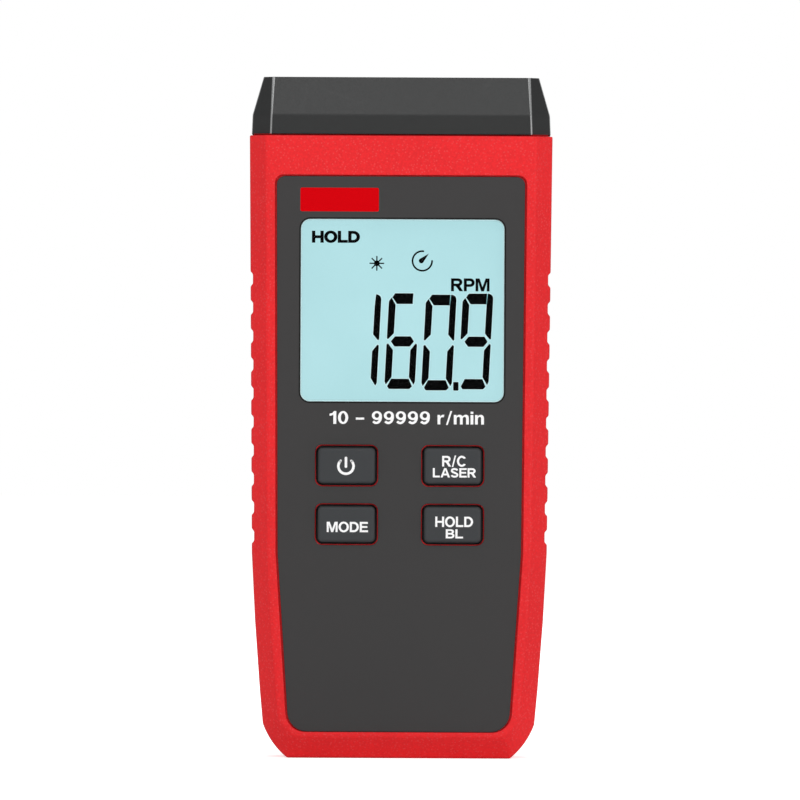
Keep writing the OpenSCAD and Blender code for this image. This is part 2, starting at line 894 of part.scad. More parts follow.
module receiver_lens() {
    r = receiver_lens_r;
    color([0.75, 0.85, 0.9])
        translate([receiver_x, mid_y, tube_z + tube_l - receiver_lens_t - 0.2])
            rotate_extrude()
                polygon(concat(
                    [[0, 0], [r, 0], [r, receiver_lens_t * 0.4]],
                    [for (i = [1 : 6]) [r * cos(15 * i), receiver_lens_t * (0.4 + 0.6 * sin(15 * i))]]
                ));
}

module photodiode() {
    r = 2.4;
    color([0.08, 0.02, 0.03])
        translate([receiver_x, mid_y, optics_board_z + optics_board_t])
            rotate_extrude()
                polygon(concat(
                    [[0, 0], [r + 0.4, 0], [r + 0.4, 1], [r, 1], [r, 3.4]],
                    [for (i = [1 : 6]) [r * cos(15 * i), 3.4 + r * sin(15 * i)]]
                ));
}

module optics_board() {
    color([0.04, 0.25, 0.1])
        difference() {
            slab(optics_board_z, optics_board_z + optics_board_t)
                translate([0, mid_y])
                    rounded_rect(optics_board_w, optics_board_h, 1.5);
            for (side = [-1, 1])
                bar_z(
                    side * optics_post_x, mid_y, optics_screw_r + slip,
                    optics_board_z - over, optics_board_z + optics_board_t + over
                );
        }
}

module optics_screws() {
    color([0.7, 0.71, 0.73])
        for (side = [-1, 1]) {
            bar_z(
                side * optics_post_x, mid_y, optics_screw_r,
                optics_board_z - optics_screw_head_t / 2, optics_board_z + optics_screw_l
            );
            bar_z(
                side * optics_post_x, mid_y, optics_screw_head_r,
                optics_board_z - optics_screw_head_t, optics_board_z
            );
        }
}

// Header that joins the main board to the optics board
header_t = 2.5;
header_h = 3;
header_drop = 0.4;
header_pitch = 2.54;
header_pins = 4;
header_pin_r = 0.34;

module pin_header() {
    w = header_pins * header_pitch;
    color([0.06, 0.06, 0.065])
        union() {
            block(
                -w / 2, w / 2, board_back_y, board_back_y + header_t,
                board_top_z - header_drop - header_h, board_top_z - header_drop
            );
            for (i = [0 : header_pins - 1])
                bar_z(
                    (i - (header_pins - 1) / 2) * header_pitch, board_back_y + header_t / 2, header_pin_r,
                    board_top_z - header_drop - header_h / 2, optics_board_z
                );
        }
}

module face_panel() {
    color([0.05, 0.05, 0.052])
        difference() {
            plate(panel_face_y, panel_seat_y)
                panel_outline(slip / 2, panel_gap, panel_top_gap);
            plate(panel_face_y - over, panel_seat_y + over)
                window_outline(0);
            plate(panel_face_y - over, panel_seat_y + over)
                at_keys()
                    rounded_rect(
                        key_w + 2 * (key_gap + key_reveal), key_h + 2 * (key_gap + key_reveal),
                        key_r + key_gap + key_reveal
                    );
        }
}

module display_window() {
    color([0.7, 0.86, 0.88])
        plate(panel_seat_y, lens_seat_y)
            window_outline(lens_lip);
}

// Display cell: a front glass with a contact ledge and a shorter rear glass
glass_t = cell_glass_t / 2;
ledge_h = 1.8;

module display_cell() {
    w = window_w + 2 * cell_border;
    base_z = window_base_z - cell_border;
    top_z = window_top_z + cell_border;
    color([0.55, 0.7, 0.72])
        union() {
            block(-w / 2, w / 2, cell_face_y, cell_face_y + glass_t, base_z, top_z);
            block(-w / 2, w / 2, cell_face_y + glass_t / 2, cell_back_y, base_z, top_z - ledge_h - slip);
        }
}

module contact_strip() {
    w = window_w + 2 * cell_border;
    top_z = window_top_z + cell_border;
    color([0.75, 0.6, 0.65])
        block(-w / 2, w / 2, cell_face_y + glass_t, board_y, top_z - ledge_h, top_z);
}

module display_frame() {
    w = window_w + 2 * (cell_border + slip);
    h = window_h + 2 * (cell_border + slip);
    color([0.88, 0.89, 0.88])
        plate(cell_face_y, board_y)
            difference() {
                translate([0, window_z])
                    rounded_rect(w + 2 * frame_wall, h + 2 * frame_wall, 1.2);
                translate([0, window_z])
                    square([w, h], center = true);
            }
}

led_w = 3;
led_h = 1.5;
led_t = 2;
light_edge = 0.5;
light_base_z = window_base_z - light_edge;

module backlight_panel() {
    color([0.93, 0.95, 0.95])
        block(
            -window_w / 2 - 1, window_w / 2 + 1, cell_back_y, board_y,
            light_base_z, window_top_z + cell_border - ledge_h - slip
        );
}

module backlight_leds() {
    color([0.95, 0.95, 0.8])
        for (side = [-1, 1])
            block(
                side * window_w / 4 - led_w / 2, side * window_w / 4 + led_w / 2, board_y - led_t, board_y,
                light_base_z - slip - led_h, light_base_z - slip
            );
}

// Main board: broad behind the display and keys, narrow where it passes the lower bosses
board_top_z = boss_high[1] - boss_r - 0.6;
board_base_z = bay_z - 0.9;
board_step_z = boss_low[1] + boss_r + 6;
board_tongue_w = 2 * bay_half;

module main_board() {
    color([0.04, 0.25, 0.1])
        difference() {
            plate(board_y, board_back_y)
                polygon([
                    [-board_tongue_w / 2, board_base_z], [board_tongue_w / 2, board_base_z],
                    [board_tongue_w / 2, board_step_z - 4], [board_w / 2 - 3, board_step_z],
                    [board_w / 2, board_step_z + 3], [board_w / 2, board_top_z],
                    [-board_w / 2, board_top_z], [-board_w / 2, board_step_z + 3],
                    [-board_w / 2 + 3, board_step_z], [-board_tongue_w / 2, board_step_z - 4]
                ]);
            for (p = board_places)
                bar_y(p[0], p[1], board_screw_r + slip, board_y - over, board_back_y + over);
        }
}

chip_w = 12;
chip_t = 1.6;

// Leads along one side of the chip
module chip_leads() {
    for (i = [-5 : 5])
        block(i - 0.2, i + 0.2, 0, 0.6, chip_w / 2 - 0.3, chip_w / 2 + 1);
}

module controller_chip() {
    half = chip_w / 2;
    color([0.03, 0.03, 0.03])
        translate([0, board_back_y, window_z])
            union() {
                block(-half, half, 0.15, chip_t, -half, half);
                for (turn = [0 : 90 : 270])
                    rotate([0, turn, 0])
                        chip_leads();
            }
}

// Crystal: a low oval can under the chip
crystal_w = 10.8;
crystal_h = 4.4;
crystal_t = 3;
crystal_drop = 14;

module crystal() {
    color([0.75, 0.76, 0.77])
        plate(board_back_y, board_back_y + crystal_t)
            translate([0, window_z - crystal_drop])
                rounded_rect(crystal_w, crystal_h, crystal_h / 2 - 0.1);
}

// Capacitors: round cans on square feet, beside the chip
can_r = 2;
can_h = 3;
can_foot = 2.1;
can_foot_t = 0.8;
can_x = 14;
can_z = 6;

module capacitors() {
    color([0.2, 0.21, 0.24])
        for (p = [[-can_x, window_z + can_z], [-can_x, window_z - can_z], [can_x, window_z]])
            union() {
                bar_y(p[0], p[1], can_r, board_back_y + can_foot_t / 2, board_back_y + can_h);
                block(
                    p[0] - can_foot, p[0] + can_foot, board_back_y, board_back_y + can_foot_t,
                    p[1] - can_foot, p[1] + can_foot
                );
            }
}

// Keys: each cap stands in the shell on its flange and rests on a dome of the keypad mat
flange_t = 0.9;
mat_t = 1;
dome_h = 2.9;
dome_roof = 0.8;
dome_r = 4.2;
post_r = 2.2;
pill_r = 1.6;
dome_top_y = board_y - dome_h;

module key_cap(col, row) {
    key_face_y = panel_face_y - key_rise;
    color([0.05, 0.053, 0.056])
        translate([key_col_x[col], 0, key_row_z[row]])
            union() {
                hull() {
                    plate(key_face_y, key_face_y + skin)
                        rounded_rect(key_w - 2 * key_edge, key_h - 2 * key_edge, key_r * 0.7);
                    plate(key_face_y + key_edge * 0.3, key_face_y + key_edge * 0.3 + skin)
                        rounded_rect(key_w - key_edge * 0.6, key_h - key_edge * 0.6, key_r * 0.9);
                    plate(key_face_y + key_edge, front_inner_y + flange_t / 2)
                        rounded_rect(key_w, key_h, key_r);
                }
                plate(front_inner_y, front_inner_y + flange_t)
                    rounded_rect(key_w + 2 * key_flange, key_h + 2 * key_flange, key_r + key_flange);
                bar_y(0, 0, post_r, front_inner_y + flange_t / 2, dome_top_y);
            }
}

module key_pill(col, row) {
    color([0.02, 0.02, 0.02])
        bar_y(
            key_col_x[col], key_row_z[row], pill_r,
            dome_top_y + dome_roof, board_y - key_travel - 0.05
        );
}

module power_key() {
    key_cap(0, 0);
}

module mode_key() {
    key_cap(0, 1);
}

module laser_key() {
    key_cap(1, 0);
}

module hold_key() {
    key_cap(1, 1);
}

module power_pill() {
    key_pill(0, 0);
}

module mode_pill() {
    key_pill(0, 1);
}

module laser_pill() {
    key_pill(1, 0);
}

module hold_pill() {
    key_pill(1, 1);
}

module keypad_mat() {
    w = key_pitch_x + key_w + 2 * key_flange + 1;
    h = key_pitch_z + key_h + 2 * key_flange + 1;
    color([0.25, 0.26, 0.27])
        difference() {
            union() {
                plate(board_y - mat_t, board_y)
                    translate([0, (key_row_z[0] + key_row_z[1]) / 2])
                        rounded_rect(w, h, 2);
                for (x = key_col_x, z = key_row_z)
                    translate([x, dome_top_y, z])
                        rotate([-90, 0, 0])
                            cylinder(r1 = post_r + 0.5, r2 = dome_r, h = dome_h - mat_t / 2);
            }
            for (x = key_col_x, z = key_row_z)
                translate([x, dome_top_y + dome_roof, z])
                    rotate([-90, 0, 0])
                        cylinder(r1 = pill_r + 0.5, r2 = dome_r - 0.5, h = dome_h - dome_roof + over);
        }
}

// A cell along Z, its raised end up
module cell() {
    r = cell_d / 2;
    color([0.16, 0.17, 0.19])
        rotate_extrude()
            polygon([
                [0, 0], [r - 0.5, 0], [r, 0.5], [r, cell_l - 1.9], [r - 0.4, cell_l - 1.5],
                [r - 1.1, cell_l - 1.5], [r - 1.3, cell_l - 1.7], [2.1, cell_l - 1.7],
                [1.9, cell_l - 1.3], [1.9, cell_l - 0.2], [1.7, cell_l], [0, cell_l]
            ]);
}

module battery_left() {
    translate([cell_x[0], cell_y, bay_z + plate_t + spring_l])
        cell();
}

module battery_middle() {
    translate([cell_x[1], cell_y, bay_z + plate_t + cell_l])
        rotate([180, 0, 0])
            cell();
}

module battery_right() {
    translate([cell_x[2], cell_y, bay_z + plate_t + spring_l])
        cell();
}

// Contact plates lie against the ends of the bay
plate_half = cell_d / 2 - 0.7;
plate_back_y = door_seat_y - 0.5;

module contact_plate(x0, x1, z) {
    block(x0, x1, bay_front_y, plate_back_y, z, z + plate_t);
}

module contact_tail(x, z) {
    block(x - tail_w / 2, x + tail_w / 2, board_back_y, bay_front_y + over, z, z + plate_t);
}

module positive_contact() {
    color([0.78, 0.77, 0.74])
        union() {
            contact_plate(cell_x[0] - plate_half, cell_x[0] + plate_half, bay_top_z - plate_t);
            contact_tail(cell_x[0], bay_top_z - plate_t);
        }
}

module negative_contact() {
    color([0.78, 0.77, 0.74])
        union() {
            contact_plate(cell_x[2] - plate_half, cell_x[2] + plate_half, bay_z);
            contact_tail(cell_x[2], bay_z);
        }
}

module upper_bridge_contact() {
    color([0.78, 0.77, 0.74])
        contact_plate(cell_x[1] - plate_half, cell_x[2] + plate_half, bay_top_z - plate_t);
}

module lower_bridge_contact() {
    color([0.78, 0.77, 0.74])
        contact_plate(cell_x[0] - plate_half, cell_x[1] + plate_half, bay_z);
}

// Conical coil along Z, swept in rings of wire sections
wire_r = 0.32;
coil_turns = 4;
coil_steps = 14;
coil_sides = 6;
coil_gap = 0.04;

module coil() {
    count = coil_turns * coil_steps;
    rise = spring_l - 2 * (wire_r + coil_gap);
    base_r = cell_d / 2 - 1.4;
    tip_r = 2.2;
    points = [
        for (i = [0 : count])
            let (
                t = i / count,
                a = 360 * coil_turns * t,
                r = base_r + (tip_r - base_r) * t,
                z = wire_r + coil_gap + rise * t
            )
            for (k = [0 : coil_sides - 1])
                let (b = 360 * k / coil_sides, q = r + wire_r * cos(b))
                [q * cos(a), q * sin(a), z + wire_r * sin(b)]
    ];
    sides = [
        for (i = [0 : count - 1], k = [0 : coil_sides - 1])
            let (
                m = (k + 1) % coil_sides,
                a = i * coil_sides + k,
                b = i * coil_sides + m,
                c = (i + 1) * coil_sides + m,
                d = (i + 1) * coil_sides + k
            )
            each [[a, b, c], [a, c, d]]
    ];
    first = [for (k = [coil_sides - 1 : -1 : 0]) k];
    last = [for (k = [0 : coil_sides - 1]) count * coil_sides + k];
    polyhedron(points = points, faces = concat(sides, [first, last]));
}

module contact_springs() {
    color([0.8, 0.79, 0.76]) {
        for (x = [cell_x[0], cell_x[2]])
            translate([x, cell_y, bay_z + plate_t])
                coil();
        translate([cell_x[1], cell_y, bay_top_z - plate_t])
            rotate([180, 0, 0])
                coil();
    }
}

front_shell();
rear_shell();
head_cap();
face_panel();
display_window();
battery_door();
housing_screws();
optic_window();
laser_barrel();
laser_lens();
laser_diode();
receiver_tube();
receiver_lens();
photodiode();
optics_board();
optics_screws();
pin_header();
display_cell();
display_frame();
backlight_panel();
backlight_leds();
contact_strip();
main_board();
controller_chip();
crystal();
capacitors();
board_screws();
keypad_mat();
power_key();
mode_key();
laser_key();
hold_key();
power_pill();
mode_pill();
laser_pill();
hold_pill();
battery_left();
battery_middle();
battery_right();
positive_contact();
negative_contact();
upper_bridge_contact();
lower_bridge_contact();
contact_springs();
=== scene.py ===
"""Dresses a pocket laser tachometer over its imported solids.

The part stands on its base with the display towards -Y and the optics towards +Z. Sizes in the
classes are in millimetres; the scene itself is in metres.
"""

import logging
import math
from dataclasses import dataclass, field
from enum import Enum

import bmesh
import bpy
from mathutils import Matrix, Vector
from mathutils.geometry import tessellate_polygon


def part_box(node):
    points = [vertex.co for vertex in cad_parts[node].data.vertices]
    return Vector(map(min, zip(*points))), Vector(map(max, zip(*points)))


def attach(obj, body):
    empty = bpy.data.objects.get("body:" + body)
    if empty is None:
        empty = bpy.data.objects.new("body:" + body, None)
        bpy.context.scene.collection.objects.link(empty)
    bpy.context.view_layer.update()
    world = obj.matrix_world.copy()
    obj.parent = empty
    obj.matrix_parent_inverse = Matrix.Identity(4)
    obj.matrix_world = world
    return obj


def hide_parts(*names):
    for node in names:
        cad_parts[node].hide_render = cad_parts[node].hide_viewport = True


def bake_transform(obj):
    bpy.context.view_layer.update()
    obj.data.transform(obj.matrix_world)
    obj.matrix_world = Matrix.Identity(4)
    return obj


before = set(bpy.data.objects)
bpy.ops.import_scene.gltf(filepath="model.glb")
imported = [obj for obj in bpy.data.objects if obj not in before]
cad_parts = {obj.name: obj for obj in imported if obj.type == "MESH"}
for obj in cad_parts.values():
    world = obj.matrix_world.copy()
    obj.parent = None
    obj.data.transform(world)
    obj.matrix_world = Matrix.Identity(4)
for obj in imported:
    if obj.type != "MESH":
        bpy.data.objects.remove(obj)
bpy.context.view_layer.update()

MM = 0.001
# How far the lens reaches behind the edge of its opening, in millimetres
LENS_LIP = 1.8
# How far the middle of a coil's wire lies above its seat, in wire radii
WIRE_LIFT = 1.125
# Turn of what is drawn flat, so that it looks towards -Y
FACING_FRONT = (math.pi / 2, 0.0, 0.0)
Colour = tuple[float, float, float]
Flat = tuple[float, float]
Point = tuple[float, float, float]
Loop = list[Flat]
Shape = list[Loop]
Box = tuple[float, float, float, float]
log = logging.getLogger("tachometer")


def srgb(red: int, green: int, blue: int) -> Colour:
    """Turns a display colour into the linear one that a shader takes.

    Args:
        red: Red, from 0 to 255.
        green: Green, from 0 to 255.
        blue: Blue, from 0 to 255.

    Returns:
        The linear colour.
    """

    def straight(level: int) -> float:
        """Undoes the display curve for one channel."""
        share = level / 255
        return share / 12.92 if share <= 0.04045 else ((share + 0.055) / 1.055) ** 2.4

    return straight(red), straight(green), straight(blue)


def scaled(colour: Colour, share: float) -> Colour:
    """Returns a colour with each channel times a share."""
    return colour[0] * share, colour[1] * share, colour[2] * share


# Nodes


class NodeSheet:
    """Adds and joins nodes in one tree."""

    def __init__(self, tree: bpy.types.NodeTree) -> None:
        """Keeps the tree that the nodes go into."""
        self.tree = tree

    def add(self, kind: str, values: dict | None = None, **settings: object) -> bpy.types.Node:
        """Adds a node.

        Args:
            kind: Blender's name for the node type.
            values: Input socket, by name or number, to a plain value or to an output to join.
            settings: Properties of the node itself.

        Returns:
            The new node.
        """
        node = self.tree.nodes.new(kind)
        for name, value in settings.items():
            setattr(node, name, value)
        for key, value in (values or {}).items():
            if isinstance(value, bpy.types.NodeSocket):
                self.tree.links.new(value, node.inputs[key])
            else:
                node.inputs[key].default_value = value
        return node

    def math(self, operation: str, a: object, b: object) -> bpy.types.NodeSocket:
        """Adds a Math node and returns its result."""
        return self.add("ShaderNodeMath", {0: a, 1: b}, operation=operation).outputs[0]

    def blend(self, share: object, low: Colour, high: Colour) -> bpy.types.NodeSocket:
        """Adds a mix of two colours.

        Args:
            share: How far the mix goes from the first to the second.
            low: The first colour, plain or from an output.
            high: The second colour, plain or from an output.

        Returns:
            The mixed colour.
        """
        node = self.add("ShaderNodeMix", data_type="RGBA")
        for index, value in ((0, share), (6, low), (7, high)):
            if isinstance(value, bpy.types.NodeSocket):
                self.tree.links.new(value, node.inputs[index])
            else:
                node.inputs[index].default_value = (*value, 1.0) if index else value
        return node.outputs[2]

    def remap(self, value: object, low: float, high: float, start: float = 0.0,
              end: float = 1.0) -> bpy.types.NodeSocket:
        """Adds a Map Range node.

        Args:
            value: The output to map.
            low: What start becomes.
            high: What end becomes.
            start: Lower end of the range taken in.
            end: Upper end of the range taken in.

        Returns:
            The mapped value.
        """
        return self.add("ShaderNodeMapRange", {
            "Value": value, "From Min": start, "From Max": end, "To Min": low, "To Max": high,
        }).outputs["Result"]


class Effect(Enum):
    """Surface effects that several finishes share, each a node group."""

    GRAIN = "moulded_grain"
    SCUFFS = "handling_scuffs"
    LINES = "drawn_lines"


class EffectBook:
    """Builds each shared effect once and hands it out."""

    _made: dict[Effect, bpy.types.NodeTree] = {}

    @classmethod
    def get(cls, effect: Effect) -> bpy.types.NodeTree:
        """Returns the group of an effect, built at its first use.

        Args:
            effect: The effect.

        Returns:
            Its node group.
        """
        if effect not in cls._made:
            builder = {Effect.GRAIN: cls._grain, Effect.SCUFFS: cls._scuffs, Effect.LINES: cls._lines}
            cls._made[effect] = builder[effect]()
        return cls._made[effect]

    @staticmethod
    def _open(effect: Effect, inputs: dict[str, float],
              outputs: tuple[str, ...]) -> tuple[NodeSheet, bpy.types.Node, bpy.types.Node]:
        """Starts a group.

        Args:
            effect: The effect that names it.
            inputs: Input names and their defaults.
            outputs: Output names.

        Returns:
            The sheet, the group's input node and its output node.
        """
        tree = bpy.data.node_groups.new(effect.value, "ShaderNodeTree")
        for name, default in inputs.items():
            socket = tree.interface.new_socket(name=name, in_out="INPUT", socket_type="NodeSocketFloat")
            socket.default_value = default
        for name in outputs:
            tree.interface.new_socket(name=name, in_out="OUTPUT", socket_type="NodeSocketFloat")
        sheet = NodeSheet(tree)
        return sheet, sheet.add("NodeGroupInput"), sheet.add("NodeGroupOutput")

    @classmethod
    def _grain(cls) -> bpy.types.NodeTree:
        """Builds a moulding's pebbled skin: specks, a slow drift of tone and sparse dots for painted
        glints.

        Returns:
            The node group.
        """
        sheet, given, result = cls._open(
            Effect.GRAIN, {"Grain mm": 0.3, "Drift mm": 18.0}, ("Height", "Speck", "Drift", "Painted Glint")
        )
        place = sheet.add("ShaderNodeTexCoord").outputs["Object"]
        fine = sheet.math("DIVIDE", 1000.0, given.outputs["Grain mm"])
        slow = sheet.math("DIVIDE", 1000.0, given.outputs["Drift mm"])
        noise = sheet.add(
            "ShaderNodeTexNoise", {"Vector": place, "Scale": fine, "Detail": 2.0, "Roughness": 0.6}
        )
        cells = sheet.add("ShaderNodeTexVoronoi", {"Vector": place, "Scale": fine}, feature="SMOOTH_F1")
        drift = sheet.add("ShaderNodeTexNoise", {"Vector": place, "Scale": slow, "Detail": 3.0})
        sparse = sheet.math("MULTIPLY", fine, 0.7)
        dots = sheet.add("ShaderNodeTexVoronoi", {"Vector": place, "Scale": sparse})
        height = sheet.math("ADD", noise.outputs[0], sheet.math("MULTIPLY", cells.outputs["Distance"], 0.5))
        for name, value in (
            ("Height", height),
            ("Speck", sheet.remap(noise.outputs[0], 0.0, 1.0, 0.3, 0.7)),
            ("Drift", sheet.remap(drift.outputs[0], 0.0, 1.0, 0.3, 0.7)),
            # Painted glints: sparse dots that lighten the colour in place of tiny highlights
            ("Painted Glint", sheet.remap(dots.outputs["Distance"], 1.0, 0.0, 0.12, 0.36)),
        ):
            sheet.tree.links.new(value, result.inputs[name])
        return sheet.tree

    @classmethod
    def _scuffs(cls) -> bpy.types.NodeTree:
        """Builds sparse hair-thin rub marks, as a mask.

        Returns:
            The node group.
        """
        sheet, given, result = cls._open(Effect.SCUFFS, {"Size mm": 6.0, "Amount": 0.5}, ("Mask",))
        place = sheet.add("ShaderNodeTexCoord").outputs["Object"]
        scale = sheet.math("DIVIDE", 1000.0, given.outputs["Size mm"])
        cells = sheet.add(
            "ShaderNodeTexVoronoi", {"Vector": place, "Scale": scale}, feature="DISTANCE_TO_EDGE"
        )
        patches = sheet.add("ShaderNodeTexNoise", {"Vector": place, "Scale": scale, "Detail": 2.0})
        line = sheet.remap(cells.outputs["Distance"], 1.0, 0.0, 0.0, 0.03)
        where = sheet.remap(patches.outputs[0], 0.0, 1.0, 0.5, 0.75)
        mask = sheet.math("MULTIPLY", sheet.math("MULTIPLY", line, where), given.outputs["Amount"])
        sheet.tree.links.new(mask, result.inputs["Mask"])
        return sheet.tree

    @classmethod
    def _lines(cls) -> bpy.types.NodeTree:
        """Builds the fine lines left on drawn or turned metal, closest along Z.

        Returns:
            The node group.
        """
        sheet, given, result = cls._open(Effect.LINES, {"Pitch mm": 0.12}, ("Height", "Tone"))
        place = sheet.add("ShaderNodeTexCoord").outputs["Object"]
        squeezed = sheet.add("ShaderNodeMapping", {"Vector": place, "Scale": (0.05, 0.05, 1.0)})
        scale = sheet.math("DIVIDE", 1000.0, given.outputs["Pitch mm"])
        noise = sheet.add(
            "ShaderNodeTexNoise", {"Vector": squeezed.outputs[0], "Scale": scale, "Detail": 3.0}
        )
        broad = sheet.add("ShaderNodeTexNoise", {"Vector": place, "Scale": 350.0, "Detail": 2.0})
        sheet.tree.links.new(noise.outputs[0], result.inputs["Height"])
        sheet.tree.links.new(sheet.remap(broad.outputs[0], 0.0, 1.0, 0.3, 0.7), result.inputs["Tone"])
        return sheet.tree


class Coating:
    """A material under way: its sheet and its lone Principled shader."""

    def __init__(self, name: str) -> None:
        """Starts an empty material.

        Args:
            name: Its name.
        """
        self.material = bpy.data.materials.new(name)
        self.material.use_nodes = True
        self.material.node_tree.nodes.clear()
        self.sheet = NodeSheet(self.material.node_tree)
        self.shader = self.sheet.add("ShaderNodeBsdfPrincipled")
        output = self.sheet.add("ShaderNodeOutputMaterial")
        self.sheet.tree.links.new(self.shader.outputs[0], output.inputs["Surface"])

    def set(self, values: dict[str, object]) -> None:
        """Sets or joins the shader's sockets.

        Args:
            values: Name of each socket to a plain value, a colour or an output.
        """
        for name, value in values.items():
            socket = self.shader.inputs[name]
            if isinstance(value, bpy.types.NodeSocket):
                self.sheet.tree.links.new(value, socket)
            elif isinstance(value, tuple):
                socket.default_value = (*value, 1.0)
            else:
                socket.default_value = value

    def tinted(self, share: bpy.types.NodeSocket, tone: Colour, spread: float) -> bpy.types.NodeSocket:
        """Lets a tone vary by a spread to both sides and returns it."""
        return self.sheet.blend(share, scaled(tone, 1 - spread), scaled(tone, 1 + spread))

    def effect(self, effect: Effect, values: dict[str, float]) -> bpy.types.Node:
        """Places a shared effect with its own values and returns its node."""
        return self.sheet.add("ShaderNodeGroup", values, node_tree=EffectBook.get(effect))

    def relief(self, height: bpy.types.NodeSocket, depth_mm: float, strength: float) -> None:
        """Joins a height to the shader's normal through a bump.

        Args:
            height: The output to follow.
            depth_mm: Depth of the relief, in millimetres.
            strength: Strength of the bump.
        """
        bump = self.sheet.add(
            "ShaderNodeBump", {"Height": height, "Distance": depth_mm * MM, "Strength": strength}
        )
        self.set({"Normal": bump.outputs[0]})


# Finishes


@dataclass(frozen=True)
class Moulded:
    """Moulded plastic or rubber: a fine grain over a slow drift of tone."""

    name: str
    tone: Colour
    spread: float = 0.08
    rough: float = 0.5
    grain_mm: float = 0.3
    relief_mm: float = 0.02
    strength: float = 0.35
    drift_mm: float = 18.0
    specular: float = 0.5
    scuffs: float = 0.3
    # How far sparse dots are lightened towards white: painted glints for tiny highlights
    painted_glint: float = 0.0

    def material(self) -> bpy.types.Material:
        """Builds the material.

        Returns:
            The material.
        """
        coat = Coating(self.name)
        grain = coat.effect(Effect.GRAIN, {"Grain mm": self.grain_mm, "Drift mm": self.drift_mm})
        scuffs = coat.effect(Effect.SCUFFS, {"Size mm": self.drift_mm / 2, "Amount": self.scuffs})
        share = coat.sheet.math(
            "ADD",
            coat.sheet.math("MULTIPLY", grain.outputs["Speck"], 0.65),
            coat.sheet.math("MULTIPLY", grain.outputs["Drift"], 0.35),
        )
        rough = coat.sheet.math(
            "SUBTRACT",
            coat.sheet.remap(grain.outputs["Speck"], self.rough - 0.05, self.rough + 0.05),
            coat.sheet.math("MULTIPLY", scuffs.outputs["Mask"], 0.12),
        )
        colour = coat.tinted(share, self.tone, self.spread)
        # Painted glints: sparse dots lightened towards white stand in for tiny highlights
        if self.painted_glint:
            bright = tuple(part + (1 - part) * self.painted_glint for part in self.tone)
            colour = coat.sheet.blend(grain.outputs["Painted Glint"], colour, bright)
        coat.set({
            "Base Color": colour,
            "Roughness": rough,
            "Specular IOR Level": self.specular,
        })
        coat.relief(grain.outputs["Height"], self.relief_mm, self.strength)
        return coat.material


@dataclass(frozen=True)
class Metal:
    """Drawn, turned or plated metal with fine lines."""

    name: str
    tone: Colour
    rough: float = 0.3
    pitch_mm: float = 0.12
    relief_mm: float = 0.004

    def material(self) -> bpy.types.Material:
        """Builds the material.

        Returns:
            The material.
        """
        coat = Coating(self.name)
        lines = coat.effect(Effect.LINES, {"Pitch mm": self.pitch_mm})
        scuffs = coat.effect(Effect.SCUFFS, {"Size mm": 3.0, "Amount": 0.6})
        rough = coat.sheet.math(
            "ADD",
            coat.sheet.remap(lines.outputs["Tone"], self.rough - 0.06, self.rough + 0.08),
            coat.sheet.math("MULTIPLY", scuffs.outputs["Mask"], 0.15),
        )
        coat.set({
            "Base Color": coat.sheet.blend(lines.outputs["Tone"], scaled(self.tone, 0.88), self.tone),
            "Metallic": 1.0,
            "Roughness": rough,
        })
        coat.relief(lines.outputs["Height"], self.relief_mm, 0.3)
        return coat.material


@dataclass(frozen=True)
class Ink:
    """A thin printed or driven layer with a slightly uneven edge to its tone."""

    name: str
    tone: Colour
    rough: float = 0.55
    spread: float = 0.05
    glow: float = 0.0
    specular: float = 0.3

    def material(self) -> bpy.types.Material:
        """Builds the material.

        Returns:
            The material.
        """
        coat = Coating(self.name)
        grain = coat.effect(Effect.GRAIN, {"Grain mm": 0.25, "Drift mm": 6.0})
        colour = coat.tinted(grain.outputs["Speck"], self.tone, self.spread)
        coat.set({
            "Base Color": colour,
            "Roughness": coat.sheet.remap(grain.outputs["Drift"], self.rough - 0.05, self.rough + 0.05),
            "Specular IOR Level": self.specular,
        })
        if self.glow:
            coat.set({"Emission Color": colour, "Emission Strength": self.glow})
        return coat.material


@dataclass(frozen=True)
class Pane:
    """A clear or tinted pane that lets the light behind it through by its plain alpha."""

    name: str
    tone: Colour
    alpha: float
    rough: float = 0.06
    specular: float = 0.5

    def material(self) -> bpy.types.Material:
        """Builds the material.

        Returns:
            The material.
        """
        coat = Coating(self.name)
        grain = coat.effect(Effect.GRAIN, {"Grain mm": 2.5, "Drift mm": 25.0})
        scuffs = coat.effect(Effect.SCUFFS, {"Size mm": 9.0, "Amount": 0.5})
        coat.set({
            "Base Color": coat.sheet.blend(grain.outputs["Drift"], scaled(self.tone, 0.97), self.tone),
            "Roughness": coat.sheet.math(
                "ADD",
                coat.sheet.remap(grain.outputs["Drift"], self.rough * 0.7, self.rough * 1.3),
                coat.sheet.math("MULTIPLY", scuffs.outputs["Mask"], 0.1),
            ),
            "Specular IOR Level": self.specular,
            "Alpha": self.alpha,
        })
        return coat.material


@dataclass(frozen=True)
class LensGlass:
    """Clear optical glass."""

    name: str
    tone: Colour

    def material(self) -> bpy.types.Material:
        """Builds the material.

        Returns:
            The material.
        """
        coat = Coating(self.name)
        grain = coat.effect(Effect.GRAIN, {"Grain mm": 1.5, "Drift mm": 4.0})
        coat.set({
            "Base Color": coat.sheet.blend(grain.outputs["Drift"], scaled(self.tone, 0.96), self.tone),
            "Roughness": coat.sheet.remap(grain.outputs["Drift"], 0.01, 0.05),
            "IOR": 1.52,
            "Transmission Weight": 1.0,
        })
        return coat.material


